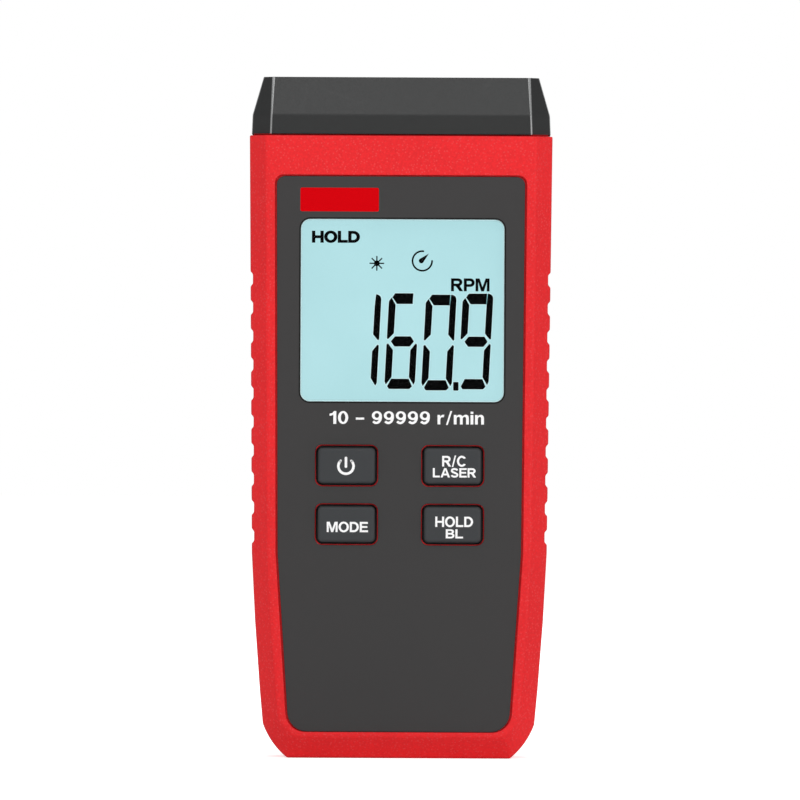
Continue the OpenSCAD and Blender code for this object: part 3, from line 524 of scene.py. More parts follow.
@dataclass(frozen=True)
class Laminate:
    """Circuit laminate: a solder mask over a weave, with lighter copper runs under it."""

    name: str
    mask: Colour
    copper: Colour

    def material(self) -> bpy.types.Material:
        """Builds the material.

        Returns:
            The material.
        """
        coat = Coating(self.name)
        sheet = coat.sheet
        grain = coat.effect(Effect.GRAIN, {"Grain mm": 0.4, "Drift mm": 9.0})
        place = sheet.add("ShaderNodeTexCoord").outputs["Object"]
        turned = sheet.add("ShaderNodeMapping", {"Vector": place, "Rotation": FACING_FRONT})
        runs = sheet.add(
            "ShaderNodeTexBrick",
            {"Vector": turned.outputs[0], "Scale": 220.0, "Mortar Size": 0.06, "Brick Width": 1.4,
             "Row Height": 0.32, "Color1": (0, 0, 0, 1), "Color2": (0, 0, 0, 1), "Mortar": (1, 1, 1, 1)},
        )
        run = sheet.math("MULTIPLY", runs.outputs["Fac"], sheet.remap(grain.outputs["Drift"], 0.2, 1.0))
        coat.set({
            "Base Color": sheet.blend(run, self.mask, self.copper),
            "Roughness": sheet.remap(grain.outputs["Speck"], 0.28, 0.42),
        })
        coat.relief(sheet.math("ADD", run, sheet.math("MULTIPLY", grain.outputs["Height"], 0.2)), 0.03, 0.4)
        return coat.material


@dataclass(frozen=True)
class DisplayGlass:
    """The cell of a reflective display: a pale ground with a faint drift and film grain."""

    name: str
    low: Colour
    high: Colour
    body: float
    glow: float

    def material(self) -> bpy.types.Material:
        """Builds the material.

        Returns:
            The material.
        """
        coat = Coating(self.name)
        sheet = coat.sheet
        grain = coat.effect(Effect.GRAIN, {"Grain mm": 0.35, "Drift mm": 26.0})
        share = sheet.math(
            "ADD",
            sheet.math("MULTIPLY", grain.outputs["Drift"], 0.8),
            sheet.math("MULTIPLY", grain.outputs["Speck"], 0.2),
        )
        colour = sheet.blend(share, self.low, self.high)
        coat.set({
            "Base Color": sheet.blend(share, scaled(self.low, self.body), scaled(self.high, self.body)),
            "Roughness": sheet.remap(grain.outputs["Drift"], 0.35, 0.45),
            "Specular IOR Level": 0.1,
            "Emission Color": colour,
            "Emission Strength": self.glow,
        })
        return coat.material


class Finish(Enum):
    """Every finish on the part."""

    # The red housing carries painted glints: sparse lighter dots for tiny highlights on its grain
    RED_HOUSING = Moulded(
        "red_housing", srgb(228, 38, 42), 0.11, 0.5, 0.42, 0.03, 0.5, 22.0, 0.16, 0.2, painted_glint=0.035
    )
    GREY_CAP = Moulded("grey_cap", srgb(35, 36, 36), 0.07, 0.43, 0.28, 0.015, 0.3, 20.0, 0.37, 0.35)
    # Lighter, glossier grey laid on the cap's corner rounds: a painted highlight
    CAP_HIGHLIGHT = Moulded("cap_edge", srgb(132, 133, 133), 0.07, 0.28, 0.28, 0.008, 0.2, 6.0, 0.6, 0.35)
    GREY_PANEL = Moulded("grey_panel", srgb(56, 55, 55), 0.04, 0.55, 0.25, 0.012, 0.25, 24.0, 0.25, 0.2)
    KEY_RUBBER = Moulded("key_rubber", srgb(55, 57, 59), 0.05, 0.6, 0.25, 0.012, 0.25, 8.0, 0.3, 0.1)
    MAT_RUBBER = Moulded("mat_rubber", srgb(120, 122, 124), 0.05, 0.65, 0.3, 0.02, 0.3, 8.0, 0.3, 0.1)
    CARBON_PILL = Moulded("carbon_pill", srgb(24, 24, 25), 0.15, 0.75, 0.2, 0.02, 0.5, 3.0, 0.2, 0.0)
    WHITE_PLASTIC = Moulded(
        "white_plastic", srgb(222, 224, 222), 0.03, 0.45, 0.3, 0.01, 0.2, 12.0, 0.4, 0.2
    )
    STRIP_RUBBER = Moulded("strip_rubber", srgb(206, 150, 158), 0.06, 0.6, 0.3, 0.01, 0.3, 2.0, 0.3, 0.0)
    BLACK_PLASTIC = Moulded("black_plastic", srgb(30, 30, 31), 0.08, 0.5, 0.2, 0.01, 0.3, 6.0, 0.4, 0.3)
    RED_RESIN = Moulded("red_resin", srgb(70, 12, 18), 0.08, 0.25, 0.6, 0.005, 0.2, 4.0, 0.5, 0.0)
    LED_RESIN = Moulded("led_resin", srgb(236, 226, 160), 0.05, 0.35, 0.4, 0.01, 0.2, 2.0, 0.5, 0.0)
    CELL_SLEEVE = Moulded("cell_sleeve", srgb(44, 47, 52), 0.06, 0.3, 0.5, 0.004, 0.2, 12.0, 0.5, 0.6)
    CELL_BAND = Moulded("cell_band", srgb(196, 128, 66), 0.06, 0.3, 0.5, 0.004, 0.2, 12.0, 0.5, 0.6)
    CAN_METAL = Metal("can_metal", srgb(196, 197, 199), 0.3)
    SCREW_STEEL = Metal("screw_steel", srgb(120, 122, 126), 0.35)
    TURNED_BRASS = Metal("turned_brass", srgb(206, 170, 96), 0.28)
    CONTACT_NICKEL = Metal("contact_nickel", srgb(212, 208, 198), 0.25)
    PRINT_WHITE = Ink("print_white", srgb(247, 247, 247))
    PLATE_RED = Ink("plate_red", srgb(208, 2, 12), 0.5, 0.04, 0.0, 0.02)
    DISPLAY_INK = Ink("display_ink", srgb(4, 4, 5), 0.6, 0.06, 0.0, 0.01)
    # Pale glowing band round each digit: a painted highlight
    DISPLAY_GLOW_HIGHLIGHT = Ink("display_painted_highlight", srgb(206, 238, 241), 0.4, 0.02, 0.2, 0.1)
    # Pale glowing stroke along the lens's edge: a painted highlight
    WINDOW_HIGHLIGHT = Ink("window_painted_highlight", srgb(204, 238, 241), 0.3, 0.03, 0.15, 0.1)
    # Black for the lens mask and the opening's wall, and for a dark line round the window that is painted
    # shadow
    BLACK_PRINT_AND_SHADOW = Ink("black_print_and_painted_shadow", srgb(20, 20, 20), 0.5, 0.05, 0.0, 0.1)
    CLEAR_LENS = Pane("clear_lens", srgb(20, 22, 22), 0.04)
    OPTIC_FILTER = Pane("optic_filter", srgb(66, 8, 14), 0.86, 0.45)
    LENS_GLASS = LensGlass("lens_glass", srgb(236, 246, 248))
    BOARD_LAMINATE = Laminate("board_laminate", srgb(16, 82, 46), srgb(58, 128, 74))
    DISPLAY_GLASS = DisplayGlass("display_glass", srgb(177, 223, 228), srgb(185, 230, 235), 0.1, 0.97)


class FinishBook:
    """Builds each finish once, puts it on pieces and knows the record's slot for it."""

    _made: dict[Finish, bpy.types.Material] = {}
    _slot_of: dict[Finish, str] = {
        Finish.RED_RESIN: "optic_filter",
        Finish.CELL_BAND: "cell_sleeve",
        Finish.CAP_HIGHLIGHT: "grey_cap",
        Finish.PRINT_WHITE: "white_plastic",
        Finish.PLATE_RED: "red_housing",
        Finish.DISPLAY_INK: "display_glass",
        Finish.DISPLAY_GLOW_HIGHLIGHT: "display_glass",
        Finish.WINDOW_HIGHLIGHT: "clear_lens",
        Finish.BLACK_PRINT_AND_SHADOW: "grey_panel",
    }

    @classmethod
    def get(cls, finish: Finish) -> bpy.types.Material:
        """Returns a finish's material, built at its first use.

        Args:
            finish: The finish.

        Returns:
            Its material.
        """
        if finish not in cls._made:
            cls._made[finish] = finish.value.material()
        return cls._made[finish]

    @classmethod
    def slot(cls, finish: Finish) -> str:
        """Returns the record's slot that a finish belongs to."""
        return cls._slot_of.get(finish, finish.value.name)

    @classmethod
    def dress(cls, node: str, finish: Finish) -> None:
        """Puts a finish on a solid that is kept as it is, and reports it.

        Args:
            node: Name of the solid.
            finish: The finish.
        """
        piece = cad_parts[node]
        material = cls.get(finish)
        if not piece.material_slots:
            piece.data.materials.append(material)
        for slot in piece.material_slots:
            slot.material = material
        log.info("%s: kept, %s", node, finish.value.name)


# Shapes


def seat(piece: bpy.types.Object, body: str, finish: Finish, *nodes: str) -> bpy.types.Object:
    """Lets a piece ride on a body and stand for solids, and reports it.

    Args:
        piece: The finished piece.
        body: Body that carries it.
        finish: Its main finish.
        nodes: Solids that it stands for.

    Returns:
        The same piece.
    """
    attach(piece, body)
    if nodes:
        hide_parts(*nodes)
    FinishBook.slot(finish)
    log.info("%s: on %s, %s", piece.name, body, finish.value.name)
    return piece


def baked(piece: bpy.types.Object) -> bpy.types.Object:
    """Turns a piece and its modifiers into one plain mesh.

    Args:
        piece: Object with live modifiers.

    Returns:
        The same object, with no modifiers left.
    """
    bpy.context.view_layer.update()
    view = bpy.context.evaluated_depsgraph_get()
    mesh = bpy.data.meshes.new_from_object(piece.evaluated_get(view), depsgraph=view)
    piece.modifiers.clear()
    piece.data = mesh
    mesh.name = piece.name
    return piece


def placed(name: str, mesh: bpy.types.Mesh) -> bpy.types.Object:
    """Makes an object of a mesh and links it to the scene.

    Args:
        name: Name of the object.
        mesh: Its mesh.

    Returns:
        The object.
    """
    piece = bpy.data.objects.new(name, mesh)
    bpy.context.scene.collection.objects.link(piece)
    return piece


def rounded_outline(width: float, height: float, radius: float, steps: int = 6,
                    centre: Flat = (0.0, 0.0)) -> Loop:
    """Draws a rectangle with round corners.

    Args:
        width: Its width.
        height: Its height.
        radius: Corner radius.
        steps: Steps in each corner.
        centre: Its middle.

    Returns:
        The points, counterclockwise from the lower right corner.
    """
    points = []
    for corner, (sx, sz) in enumerate(((1, -1), (1, 1), (-1, 1), (-1, -1))):
        cx, cz = sx * (width / 2 - radius), sz * (height / 2 - radius)
        for step in range(steps + 1):
            angle = math.radians(-90 + 90 * corner + 90 * step / steps)
            points.append((centre[0] + cx + radius * math.cos(angle),
                           centre[1] + cz + radius * math.sin(angle)))
    return points


def grown_outline(points: Loop, by: float) -> Loop:
    """Moves each edge of a counterclockwise outline outwards.

    Args:
        points: The outline.
        by: Distance to move.

    Returns:
        The larger outline.
    """
    grown = []
    count = len(points)
    for index in range(count):
        before, here, after = (Vector(points[(index + k) % count]) for k in (-1, 0, 1))
        u, v = (here - before).normalized(), (after - here).normalized()
        n1, n2 = Vector((u.y, -u.x)), Vector((v.y, -v.x))
        reach = (n1 + n2) / max(0.3, 1 + n1.dot(n2))
        grown.append(tuple(here + reach * by))
    return grown


def oval(cx: float, cz: float, rx: float, rz: float, start: float = 0.0, end: float = 360.0,
         steps: int = 14) -> Loop:
    """Draws points along an oval.

    Args:
        cx: Its middle across.
        cz: Its middle up.
        rx: Half its width.
        rz: Half its height.
        start: First angle, in degrees.
        end: Last angle, in degrees. A whole turn leaves its last point out.
        steps: Steps between them.

    Returns:
        The points in order.
    """
    points = []
    for step in range(steps if end - start >= 360 else steps + 1):
        angle = math.radians(start + (end - start) * step / steps)
        points.append((cx + rx * math.cos(angle), cz + rz * math.sin(angle)))
    return points


def ribbon(path: Loop, width: float) -> Loop:
    """Draws round a stroke of even width.

    Args:
        path: Its middle line.
        width: Its width.

    Returns:
        The closed outline.
    """
    left, right = [], []
    last = len(path) - 1
    for index, (x, z) in enumerate(path):
        way = Vector(path[min(last, index + 1)]) - Vector(path[max(0, index - 1)])
        way = way.normalized() * width / 2
        left.append((x - way.y, z + way.x))
        right.append((x + way.y, z - way.x))
    return left + right[::-1]


class Solid:
    """Collects points and faces in millimetres and makes one mesh of them."""

    def __init__(self, name: str) -> None:
        """Starts empty.

        Args:
            name: Name of the object to come.
        """
        self.name = name
        self.points: list[Point] = []
        self.faces: list[list[int]] = []
        self.marks: list[int] = []

    def prism(self, outline: Loop, y_front: float, y_back: float, mark: int = 0) -> None:
        """Adds a flat shape, given in X and Z, as a plate between two depths.

        Args:
            outline: Its points.
            y_front: Depth of its front face.
            y_back: Depth of its back face.
            mark: Number of its finish.
        """
        self.loft([[(x, y, z) for x, z in outline] for y in (y_front, y_back)], mark)

    def plate(self, shape: Shape, y_front: float, y_back: float, mark: int = 0) -> None:
        """Adds a flat shape with holes as a plate between two depths.

        Args:
            shape: Its outline and then its holes.
            y_front: Depth of its front face.
            y_back: Depth of its back face.
            mark: Number of its finish.
        """
        start = len(self.points)
        spots = [spot for loop in shape for spot in loop]
        count = len(spots)
        for depth in (y_front, y_back):
            self.points.extend((x, depth, z) for x, z in spots)
        fill = tessellate_polygon([[Vector((x, z, 0.0)) for x, z in loop] for loop in shape])
        for shift in (start, start + count):
            self.faces.extend([shift + k for k in face] for face in fill)
        for loop in shape:
            for k in range(len(loop)):
                a, b = start + k, start + (k + 1) % len(loop)
                self.faces.append([a, b, b + count, a + count])
            start += len(loop)
        self.marks.extend([mark] * (len(self.faces) - len(self.marks)))

    def loft(self, rings: list[list[Point]], mark: int = 0, marks: list[int] | None = None) -> None:
        """Adds a closed skin over rings of equal count.

        Args:
            rings: The rings, in order.
            mark: Number of its finish.
            marks: Number of the finish of each band between rings, where they differ.
        """
        count = len(rings[0])
        base = len(self.points)
        for ring in rings:
            self.points.extend(ring)
        for level in range(len(rings) - 1):
            for k in range(count):
                a, b = base + level * count + k, base + level * count + (k + 1) % count
                self.faces.append([a, b, b + count, a + count])
                self.marks.append(marks[level] if marks else mark)
        last = base + (len(rings) - 1) * count
        self.faces.append([base + k for k in range(count)])
        self.faces.append([last + k for k in range(count)])
        self.marks.extend([marks[0], marks[-1]] if marks else [mark, mark])

    def lathe(self, profile: Loop, centre: Point, steps: int, marks: list[int]) -> None:
        """Adds a turned form about an upright axis.

        Args:
            profile: Radius and height of each ring.
            centre: Where radius and height are zero.
            steps: Points in a ring.
            marks: Number of the finish of each band.
        """
        rings = []
        for radius, height in profile:
            ring = []
            for step in range(steps):
                angle = 2 * math.pi * step / steps
                ring.append((centre[0] + radius * math.cos(angle), centre[1] + radius * math.sin(angle),
                             centre[2] + height))
            rings.append(ring)
        self.loft(rings, marks=marks)

    def finish(self, finishes: list[Finish], sharp_deg: float = 35.0) -> bpy.types.Object:
        """Makes the object, with its faces outwards and its soft edges shaded smooth.

        Args:
            finishes: The finishes, by number.
            sharp_deg: Angle past which an edge stays sharp.

        Returns:
            The object, linked to the scene.
        """
        mesh = bpy.data.meshes.new(self.name)
        mesh.from_pydata([tuple(c * MM for c in p) for p in self.points], [], self.faces)
        for finish in finishes:
            mesh.materials.append(FinishBook.get(finish))
        mesh.polygons.foreach_set("material_index", self.marks)
        work = bmesh.new()
        work.from_mesh(mesh)
        bmesh.ops.recalc_face_normals(work, faces=work.faces)
        work.to_mesh(mesh)
        work.free()
        mesh.shade_smooth()
        mesh.set_sharp_from_angle(angle=math.radians(sharp_deg))
        return placed(self.name, mesh)

    def seated(self, body: str, finish: Finish, *nodes: str) -> None:
        """Makes the object in one finish and seats it on a body, in place of the solids named."""
        seat(self.finish([finish]), body, finish, *nodes)


@dataclass
class EasedCopy:
    """A copy of a solid with its crisp edges eased, as a mould leaves them."""

    node: str
    name: str
    width: float
    limit_deg: float = 28.0
    segments: int = 2
    sharp_deg: float = 38.0
    weld: float = 0.016
    sliver: float = 0.004
    flat_deg: float = 0.7
    normal_weight: int = 60

    def share(self, edge: bmesh.types.BMEdge) -> float:
        """Says what share of the width an edge is eased by."""
        return 1.0 if edge.calc_face_angle(0.0) > math.radians(self.limit_deg) else 0.0

    def mark(self, face: bmesh.types.BMFace) -> int:
        """Says which of the finishes a face takes, by number."""
        return 0

    def crisp(self, mesh: bpy.types.Mesh) -> None:
        """Marks the edges that stay sharp."""
        mesh.set_sharp_from_angle(angle=math.radians(self.sharp_deg))

    def make(self, *finishes: Finish) -> bpy.types.Object:
        """Builds the copy.

        Args:
            finishes: Its finishes, by number.

        Returns:
            The baked object.
        """
        work = bmesh.new()
        work.from_mesh(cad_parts[self.node].data)
        bmesh.ops.remove_doubles(work, verts=work.verts, dist=self.weld * MM)
        bmesh.ops.dissolve_degenerate(work, edges=work.edges, dist=self.sliver * MM)
        flat = math.radians(self.flat_deg)
        bmesh.ops.dissolve_limit(work, angle_limit=flat, verts=work.verts, edges=work.edges)
        work.normal_update()
        weight = work.edges.layers.float.new("bevel_weight_edge")
        for edge in work.edges:
            edge[weight] = self.share(edge)
            edge.smooth = True
        for face in work.faces:
            face.material_index = self.mark(face)
            face.smooth = True
        mesh = bpy.data.meshes.new(self.name)
        work.to_mesh(mesh)
        work.free()
        for finish in finishes:
            mesh.materials.append(FinishBook.get(finish))
        piece = placed(self.name, mesh)
        ease = piece.modifiers.new("ease", "BEVEL")
        ease.width = self.width * MM
        ease.segments = self.segments
        ease.limit_method = "WEIGHT"
        ease.use_clamp_overlap = False
        ease.miter_outer = "MITER_ARC"
        baked(piece)
        self.crisp(piece.data)
        normals = piece.modifiers.new("normals", "WEIGHTED_NORMAL")
        normals.keep_sharp = True
        normals.weight = self.normal_weight
        return baked(piece)


@dataclass
class ShellSkin(EasedCopy):
    """A shell's copy: all its edges eased but those of the low rim under the cap."""

    rim_z: float = 127.3
    mid_y: float = 0.4
    reach: Point = (30.5, 13.4, 40.6)
    lens_lip: float = LENS_LIP
    lip_room: float = 0.4
    wall_slope: float = 0.3

    def share(self, edge: bmesh.types.BMEdge) -> float:
        """Leaves what lies inside the shell's open top as it is.

        Args:
            edge: The edge.

        Returns:
            Its share of the width.
        """
        spot = (edge.verts[0].co + edge.verts[1].co) / (2 * MM)
        across, deep = abs(spot.x), abs(spot.y - self.mid_y)
        outer = across > self.reach[0] or deep > self.reach[1] or across + deep > self.reach[2]
        if not outer and all(vertex.co.z / MM > self.rim_z for vertex in edge.verts):
            return 0.0
        return super().share(edge)

    def mark(self, face: bmesh.types.BMFace) -> int:
        """Picks out the wall of the display's opening, which is masked black.

        Args:
            face: The face.

        Returns:
            The number of its finish.
        """
        low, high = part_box("display_window")
        spot = face.calc_center_median()
        lip = (self.lens_lip - self.lip_room) * MM
        inside = low.x + lip < spot.x < high.x - lip and low.z + lip < spot.z < high.z - lip
        return 1 if inside and abs(face.normal.y) < self.wall_slope and spot.y < 0 else 0


@dataclass
class CapSkin(EasedCopy):
    """The head cap's copy: a soft crease and top rim, and a painted highlight on its corner rounds."""

    crease_z: float = 131.6
    top_z: float = 139.4
    top_share: float = 0.3
    foot_z: float = 127.75
    slack: float = 0.05
    corner: Flat = (23.0, 8.0)
    lid_slope: float = 0.6
    # Which faces take the painted highlight: how far below the crease they reach, and their turn about Z
    highlight_drop: float = 5.0
    highlight_turn: Flat = (4.0, 39.0)

    def share(self, edge: bmesh.types.BMEdge) -> float:
        """Eases only the crease and the outer top rim.

        Args:
            edge: The edge.

        Returns:
            Its share of the width.
        """
        heights = [vertex.co.z / MM for vertex in edge.verts]
        spot = (edge.verts[0].co + edge.verts[1].co) / (2 * MM)
        if all(abs(z - self.crease_z) < self.slack for z in heights):
            return 1.0
        outer = abs(spot.x) > self.corner[0] or abs(spot.y) > self.corner[1]
        on_top = all(abs(z - self.top_z) < self.slack for z in heights)
        return self.top_share if outer and on_top else 0.0

    def mark(self, face: bmesh.types.BMFace) -> int:
        """Picks out the narrow rounds between corner facets and sides, for the painted highlight.

        Args:
            face: The face.

        Returns:
            The number of its finish.
        """
        spot = face.calc_center_median() / MM
        if abs(spot.x) < self.corner[0] or abs(spot.y) < self.corner[1]:
            return 0
        if abs(face.normal.z) > self.lid_slope or spot.z <= self.crease_z - self.highlight_drop:
            return 0
        turn = math.degrees(math.atan2(face.normal.y, face.normal.x)) % 45
        return 1 if self.highlight_turn[0] < turn < self.highlight_turn[1] else 0

    def crisp(self, mesh: bpy.types.Mesh) -> None:
        """Keeps the foot sharp, so that the narrow underside doesn't bend the shading of the walls.

        Args:
            mesh: The eased mesh.
        """
        super().crisp(mesh)
        for edge in mesh.edges:
            if all(abs(mesh.vertices[k].co.z / MM - self.foot_z) < self.slack for k in edge.vertices):
                edge.use_edge_sharp = True


class Recipe:
    """A Geometry Nodes tree with named sizes, baked into a plain mesh."""

    def __init__(self, name: str, sizes: dict[str, float]) -> None:
        """Starts a tree.

        Args:
            name: Its name.
            sizes: Named inputs and their defaults, in metres, or in turns, radians or counts.
        """
        self.tree = bpy.data.node_groups.new(name, "GeometryNodeTree")
        face = self.tree.interface
        face.new_socket(name="Places", in_out="INPUT", socket_type="NodeSocketGeometry")
        face.new_socket(name="Geometry", in_out="OUTPUT", socket_type="NodeSocketGeometry")
        for label, value in sizes.items():
            kind = "NodeSocketInt" if isinstance(value, int) else "NodeSocketFloat"
            socket = face.new_socket(name=label, in_out="INPUT", socket_type=kind)
            socket.default_value = value
        self.sheet = NodeSheet(self.tree)
        self.given = self.sheet.add("NodeGroupInput").outputs
        self.result = self.sheet.add("NodeGroupOutput")

    def join(self, *parts: bpy.types.NodeSocket) -> bpy.types.NodeSocket:
        """Joins geometries.

        Args:
            parts: The geometries.

        Returns:
            The whole.
        """
        node = self.sheet.add("GeometryNodeJoinGeometry")
        for part in parts:
            self.tree.links.new(part, node.inputs[0])
        return node.outputs[0]

    def swept(self, curve: bpy.types.NodeSocket, caps: bool = False) -> bpy.types.NodeSocket:
        """Draws a flat bar, sized by the inputs Stroke and Thickness, along a curve.

        Args:
            curve: The curve.
            caps: Whether its ends are closed.

        Returns:
            The band.
        """
        upright = self.sheet.add("GeometryNodeSetCurveNormal", {"Curve": curve}, mode="Z_UP")
        bar = self.sheet.add("GeometryNodeCurvePrimitiveQuadrilateral", {
            "Width": self.given["Stroke"], "Height": self.given["Thickness"],
        })
        return self.sheet.add("GeometryNodeCurveToMesh", {
            "Curve": upright.outputs[0], "Profile Curve": bar.outputs[0], "Fill Caps": caps,
        }).outputs[0]

    def at_places(self, part: bpy.types.NodeSocket, turn: object) -> bpy.types.NodeSocket:
        """Sets a part on each given place.

        Args:
            part: The geometry to repeat.
            turn: Its rotation: plain angles or an output.

        Returns:
            The instances.
        """
        node = self.sheet.add(
            "GeometryNodeInstanceOnPoints", {"Points": self.given["Places"], "Instance": part}
        )
        if isinstance(turn, bpy.types.NodeSocket):
            self.tree.links.new(turn, node.inputs["Rotation"])
        else:
            node.inputs["Rotation"].default_value = turn
        return node.outputs[0]

    def close(self, geometry: bpy.types.NodeSocket, finish: Finish) -> None:
        """Ends the tree in real geometry with a finish.

        Args:
            geometry: What the tree has made.
            finish: Its finish.
        """
        real = self.sheet.add("GeometryNodeRealizeInstances", {0: geometry})
        smooth = self.sheet.add("GeometryNodeSetShadeSmooth", {0: real.outputs[0]})
        painted = self.sheet.add("GeometryNodeSetMaterial", {"Geometry": smooth.outputs[0]})
        painted.inputs["Material"].default_value = FinishBook.get(finish)
        self.tree.links.new(painted.outputs[0], self.result.inputs[0])

    def bake(self, name: str, places: list[Point], sizes: dict[str, float],
             flips: list[float] | None = None, sharp_deg: float = 35.0) -> bpy.types.Object:
        """Runs the tree on places and keeps the result as a plain mesh.

        Args:
            name: Name of the piece.
            places: Points in millimetres.
            sizes: Values of the named inputs.
            flips: Half turns at each place, where they differ.
            sharp_deg: Angle past which an edge stays sharp.

        Returns:
            The baked object.
        """
        mesh = bpy.data.meshes.new(name)
        mesh.from_pydata([tuple(c * MM for c in p) for p in places], [], [])
        if flips:
            mesh.attributes.new("flip", "FLOAT", "POINT").data.foreach_set("value", flips)
        piece = placed(name, mesh)
        build = piece.modifiers.new("build", "NODES")
        build.node_group = self.tree
        for item in self.tree.interface.items_tree:
            if item.in_out == "INPUT" and item.name in sizes:
                build[item.identifier] = sizes[item.name]
        baked(piece)
        piece.data.set_sharp_from_angle(angle=math.radians(sharp_deg))
        return piece


class Typeface:
    """A plain bold sans, in cap heights: each sign's width and its shapes."""

    def __init__(self) -> None:
        """Draws every sign."""
        self.signs: dict[str, tuple[float, list[Shape]]] = {" ": (0.3, [])}
        self._straight()
        self._bowls()
        self._ovals()
        self._small()

    def _straight(self) -> None:
        """Draws the signs made of straight strokes."""
        self.signs.update({
            "H": (0.93, [[[(0, 0), (0.2, 0), (0.2, 0.41), (0.73, 0.41), (0.73, 0), (0.93, 0), (0.93, 1),
                           (0.73, 1), (0.73, 0.58), (0.2, 0.58), (0.2, 1), (0, 1)]]]),
            "L": (0.78, [[[(0, 0), (0.78, 0), (0.78, 0.17), (0.2, 0.17), (0.2, 1), (0, 1)]]]),
            "E": (0.84, [[[(0, 0), (0.84, 0), (0.84, 0.17), (0.2, 0.17), (0.2, 0.43), (0.77, 0.43),
                           (0.77, 0.59), (0.2, 0.59), (0.2, 0.83), (0.82, 0.83), (0.82, 1), (0, 1)]]]),
            "M": (1.12, [[[(0, 0), (0.19, 0), (0.19, 0.76), (0.46, 0), (0.66, 0), (0.93, 0.76), (0.93, 0),
                           (1.12, 0), (1.12, 1), (0.83, 1), (0.56, 0.27), (0.29, 1), (0, 1)]]]),
            "A": (1.06, [[[(0, 0), (0.22, 0), (0.3, 0.23), (0.76, 0.23), (0.84, 0), (1.06, 0), (0.65, 1),
                           (0.41, 1)], [(0.365, 0.4), (0.53, 0.83), (0.695, 0.4)]]]),
            "/": (0.44, [[[(0, -0.04), (0.13, -0.04), (0.44, 1.04), (0.31, 1.04)]]]),
            "–": (0.6, [[[(0, 0.34), (0.6, 0.34), (0.6, 0.5), (0, 0.5)]]]),
            "1": (0.48, [[[(0.27, 0), (0.48, 0), (0.48, 1), (0.31, 1), (0.25, 0.9), (0.15, 0.83), (0, 0.79),
                           (0, 0.63), (0.15, 0.66), (0.27, 0.73)]]]),
        })

    def _bowls(self) -> None:
        """Draws the capitals that join bowls to a stem."""
        self.signs.update({
            "D": (0.93, [[[(0, 0), *oval(0.42, 0.5, 0.51, 0.5, -90, 90), (0, 1)],
                          [(0.2, 0.17), *oval(0.39, 0.5, 0.33, 0.33, -90, 90), (0.2, 0.83)]]]),
            "P": (0.86, [[[(0, 0), (0.2, 0), (0.2, 0.36), *oval(0.52, 0.68, 0.34, 0.32, -90, 90), (0, 1)],
                          [(0.2, 0.53), *oval(0.49, 0.68, 0.16, 0.15, -90, 90), (0.2, 0.83)]]]),
            "R": (0.95, [[[(0, 0), (0.2, 0), (0.2, 0.41), (0.32, 0.41), (0.4, 0.385), (0.47, 0.31),
                           (0.7, 0), (0.95, 0), (0.77, 0.27), (0.71, 0.36),
                           *oval(0.55, 0.71, 0.35, 0.29, -64, 90), (0, 1)],
                          [(0.2, 0.57), *oval(0.52, 0.7, 0.17, 0.13, -90, 90), (0.2, 0.83)]]]),
            "B": (0.89, [[[(0, 0), *oval(0.52, 0.285, 0.37, 0.285, -90, 62),
                           *oval(0.5, 0.745, 0.34, 0.255, -58, 90), (0, 1)],
                          [(0.2, 0.16), *oval(0.49, 0.295, 0.2, 0.135, -90, 90), (0.2, 0.43)],
                          [(0.2, 0.59), *oval(0.46, 0.715, 0.18, 0.125, -90, 90), (0.2, 0.84)]]]),
        })

    def _ovals(self) -> None:
        """Draws the round capitals and figures."""
        mouth = oval(0.52, 0.5, 0.52, 0.52, 36, 324, 24) + oval(0.52, 0.5, 0.31, 0.35, 318, 42, 22)
        spine = oval(0.43, 0.735, 0.325, 0.19, 12, 235, 14) + oval(0.43, 0.265, 0.345, 0.19, 55, -168, 14)
        nine = oval(0.37, 0.665, 0.36, 0.345, 0, 295, 22) + oval(0.33, 0.52, 0.2175, 0.3375, -30, -135, 8)
        nine += oval(0.33, 0.52, 0.4025, 0.5225, -135, 8)
        self.signs.update({
            "O": (1.06, [[oval(0.53, 0.5, 0.53, 0.52, steps=28), oval(0.53, 0.5, 0.32, 0.35, steps=28)]]),
            "C": (1.0, [[mouth]]),
            "S": (0.88, [[ribbon(spine, 0.185)]]),
            "0": (0.74, [[oval(0.37, 0.5, 0.37, 0.51, steps=24), oval(0.37, 0.5, 0.16, 0.35, steps=24)]]),
            "9": (0.74, [[nine, oval(0.37, 0.67, 0.16, 0.185, steps=20)]]),
        })

    def _small(self) -> None:
        """Draws the small letters."""
        shoulder = [(0.2, 0.42), (0.215, 0.51), (0.26, 0.575), (0.33, 0.595), (0.4, 0.57), (0.435, 0.51),
                    (0.44, 0.43), (0.44, 0)]
        crown = [(0.64, 0.47), (0.625, 0.6), (0.57, 0.7), (0.49, 0.75), (0.4, 0.757), (0.31, 0.735),
                 (0.24, 0.685), (0.19, 0.62)]
        step = 0.44
        foot, top = [(0, 0), (0.2, 0)], [(0.19, 0.74), (0, 0.74)]
        second = [(x + step, z) for x, z in shoulder]
        far = [(x + step, z) for x, z in crown]
        self.signs.update({
            "n": (0.64, [[foot + shoulder + [(0.64, 0)] + crown + top]]),
            "m": (1.08, [[foot + shoulder + [(0.64, 0)] + second + [(1.08, 0)] + far + crown[2:] + top]]),
            "r": (0.49, [[foot + [(0.2, 0.36), (0.22, 0.47), (0.27, 0.54), (0.35, 0.565), (0.44, 0.545),
                                  (0.49, 0.735), (0.41, 0.755), (0.33, 0.74), (0.26, 0.69), (0.19, 0.6)]
                          + top]]),
            "i": (0.2, [[[(0, 0), (0.2, 0), (0.2, 0.74), (0, 0.74)]],
                        [[(0, 0.83), (0.2, 0.83), (0.2, 1), (0, 1)]]]),
        })


TYPEFACE = Typeface()


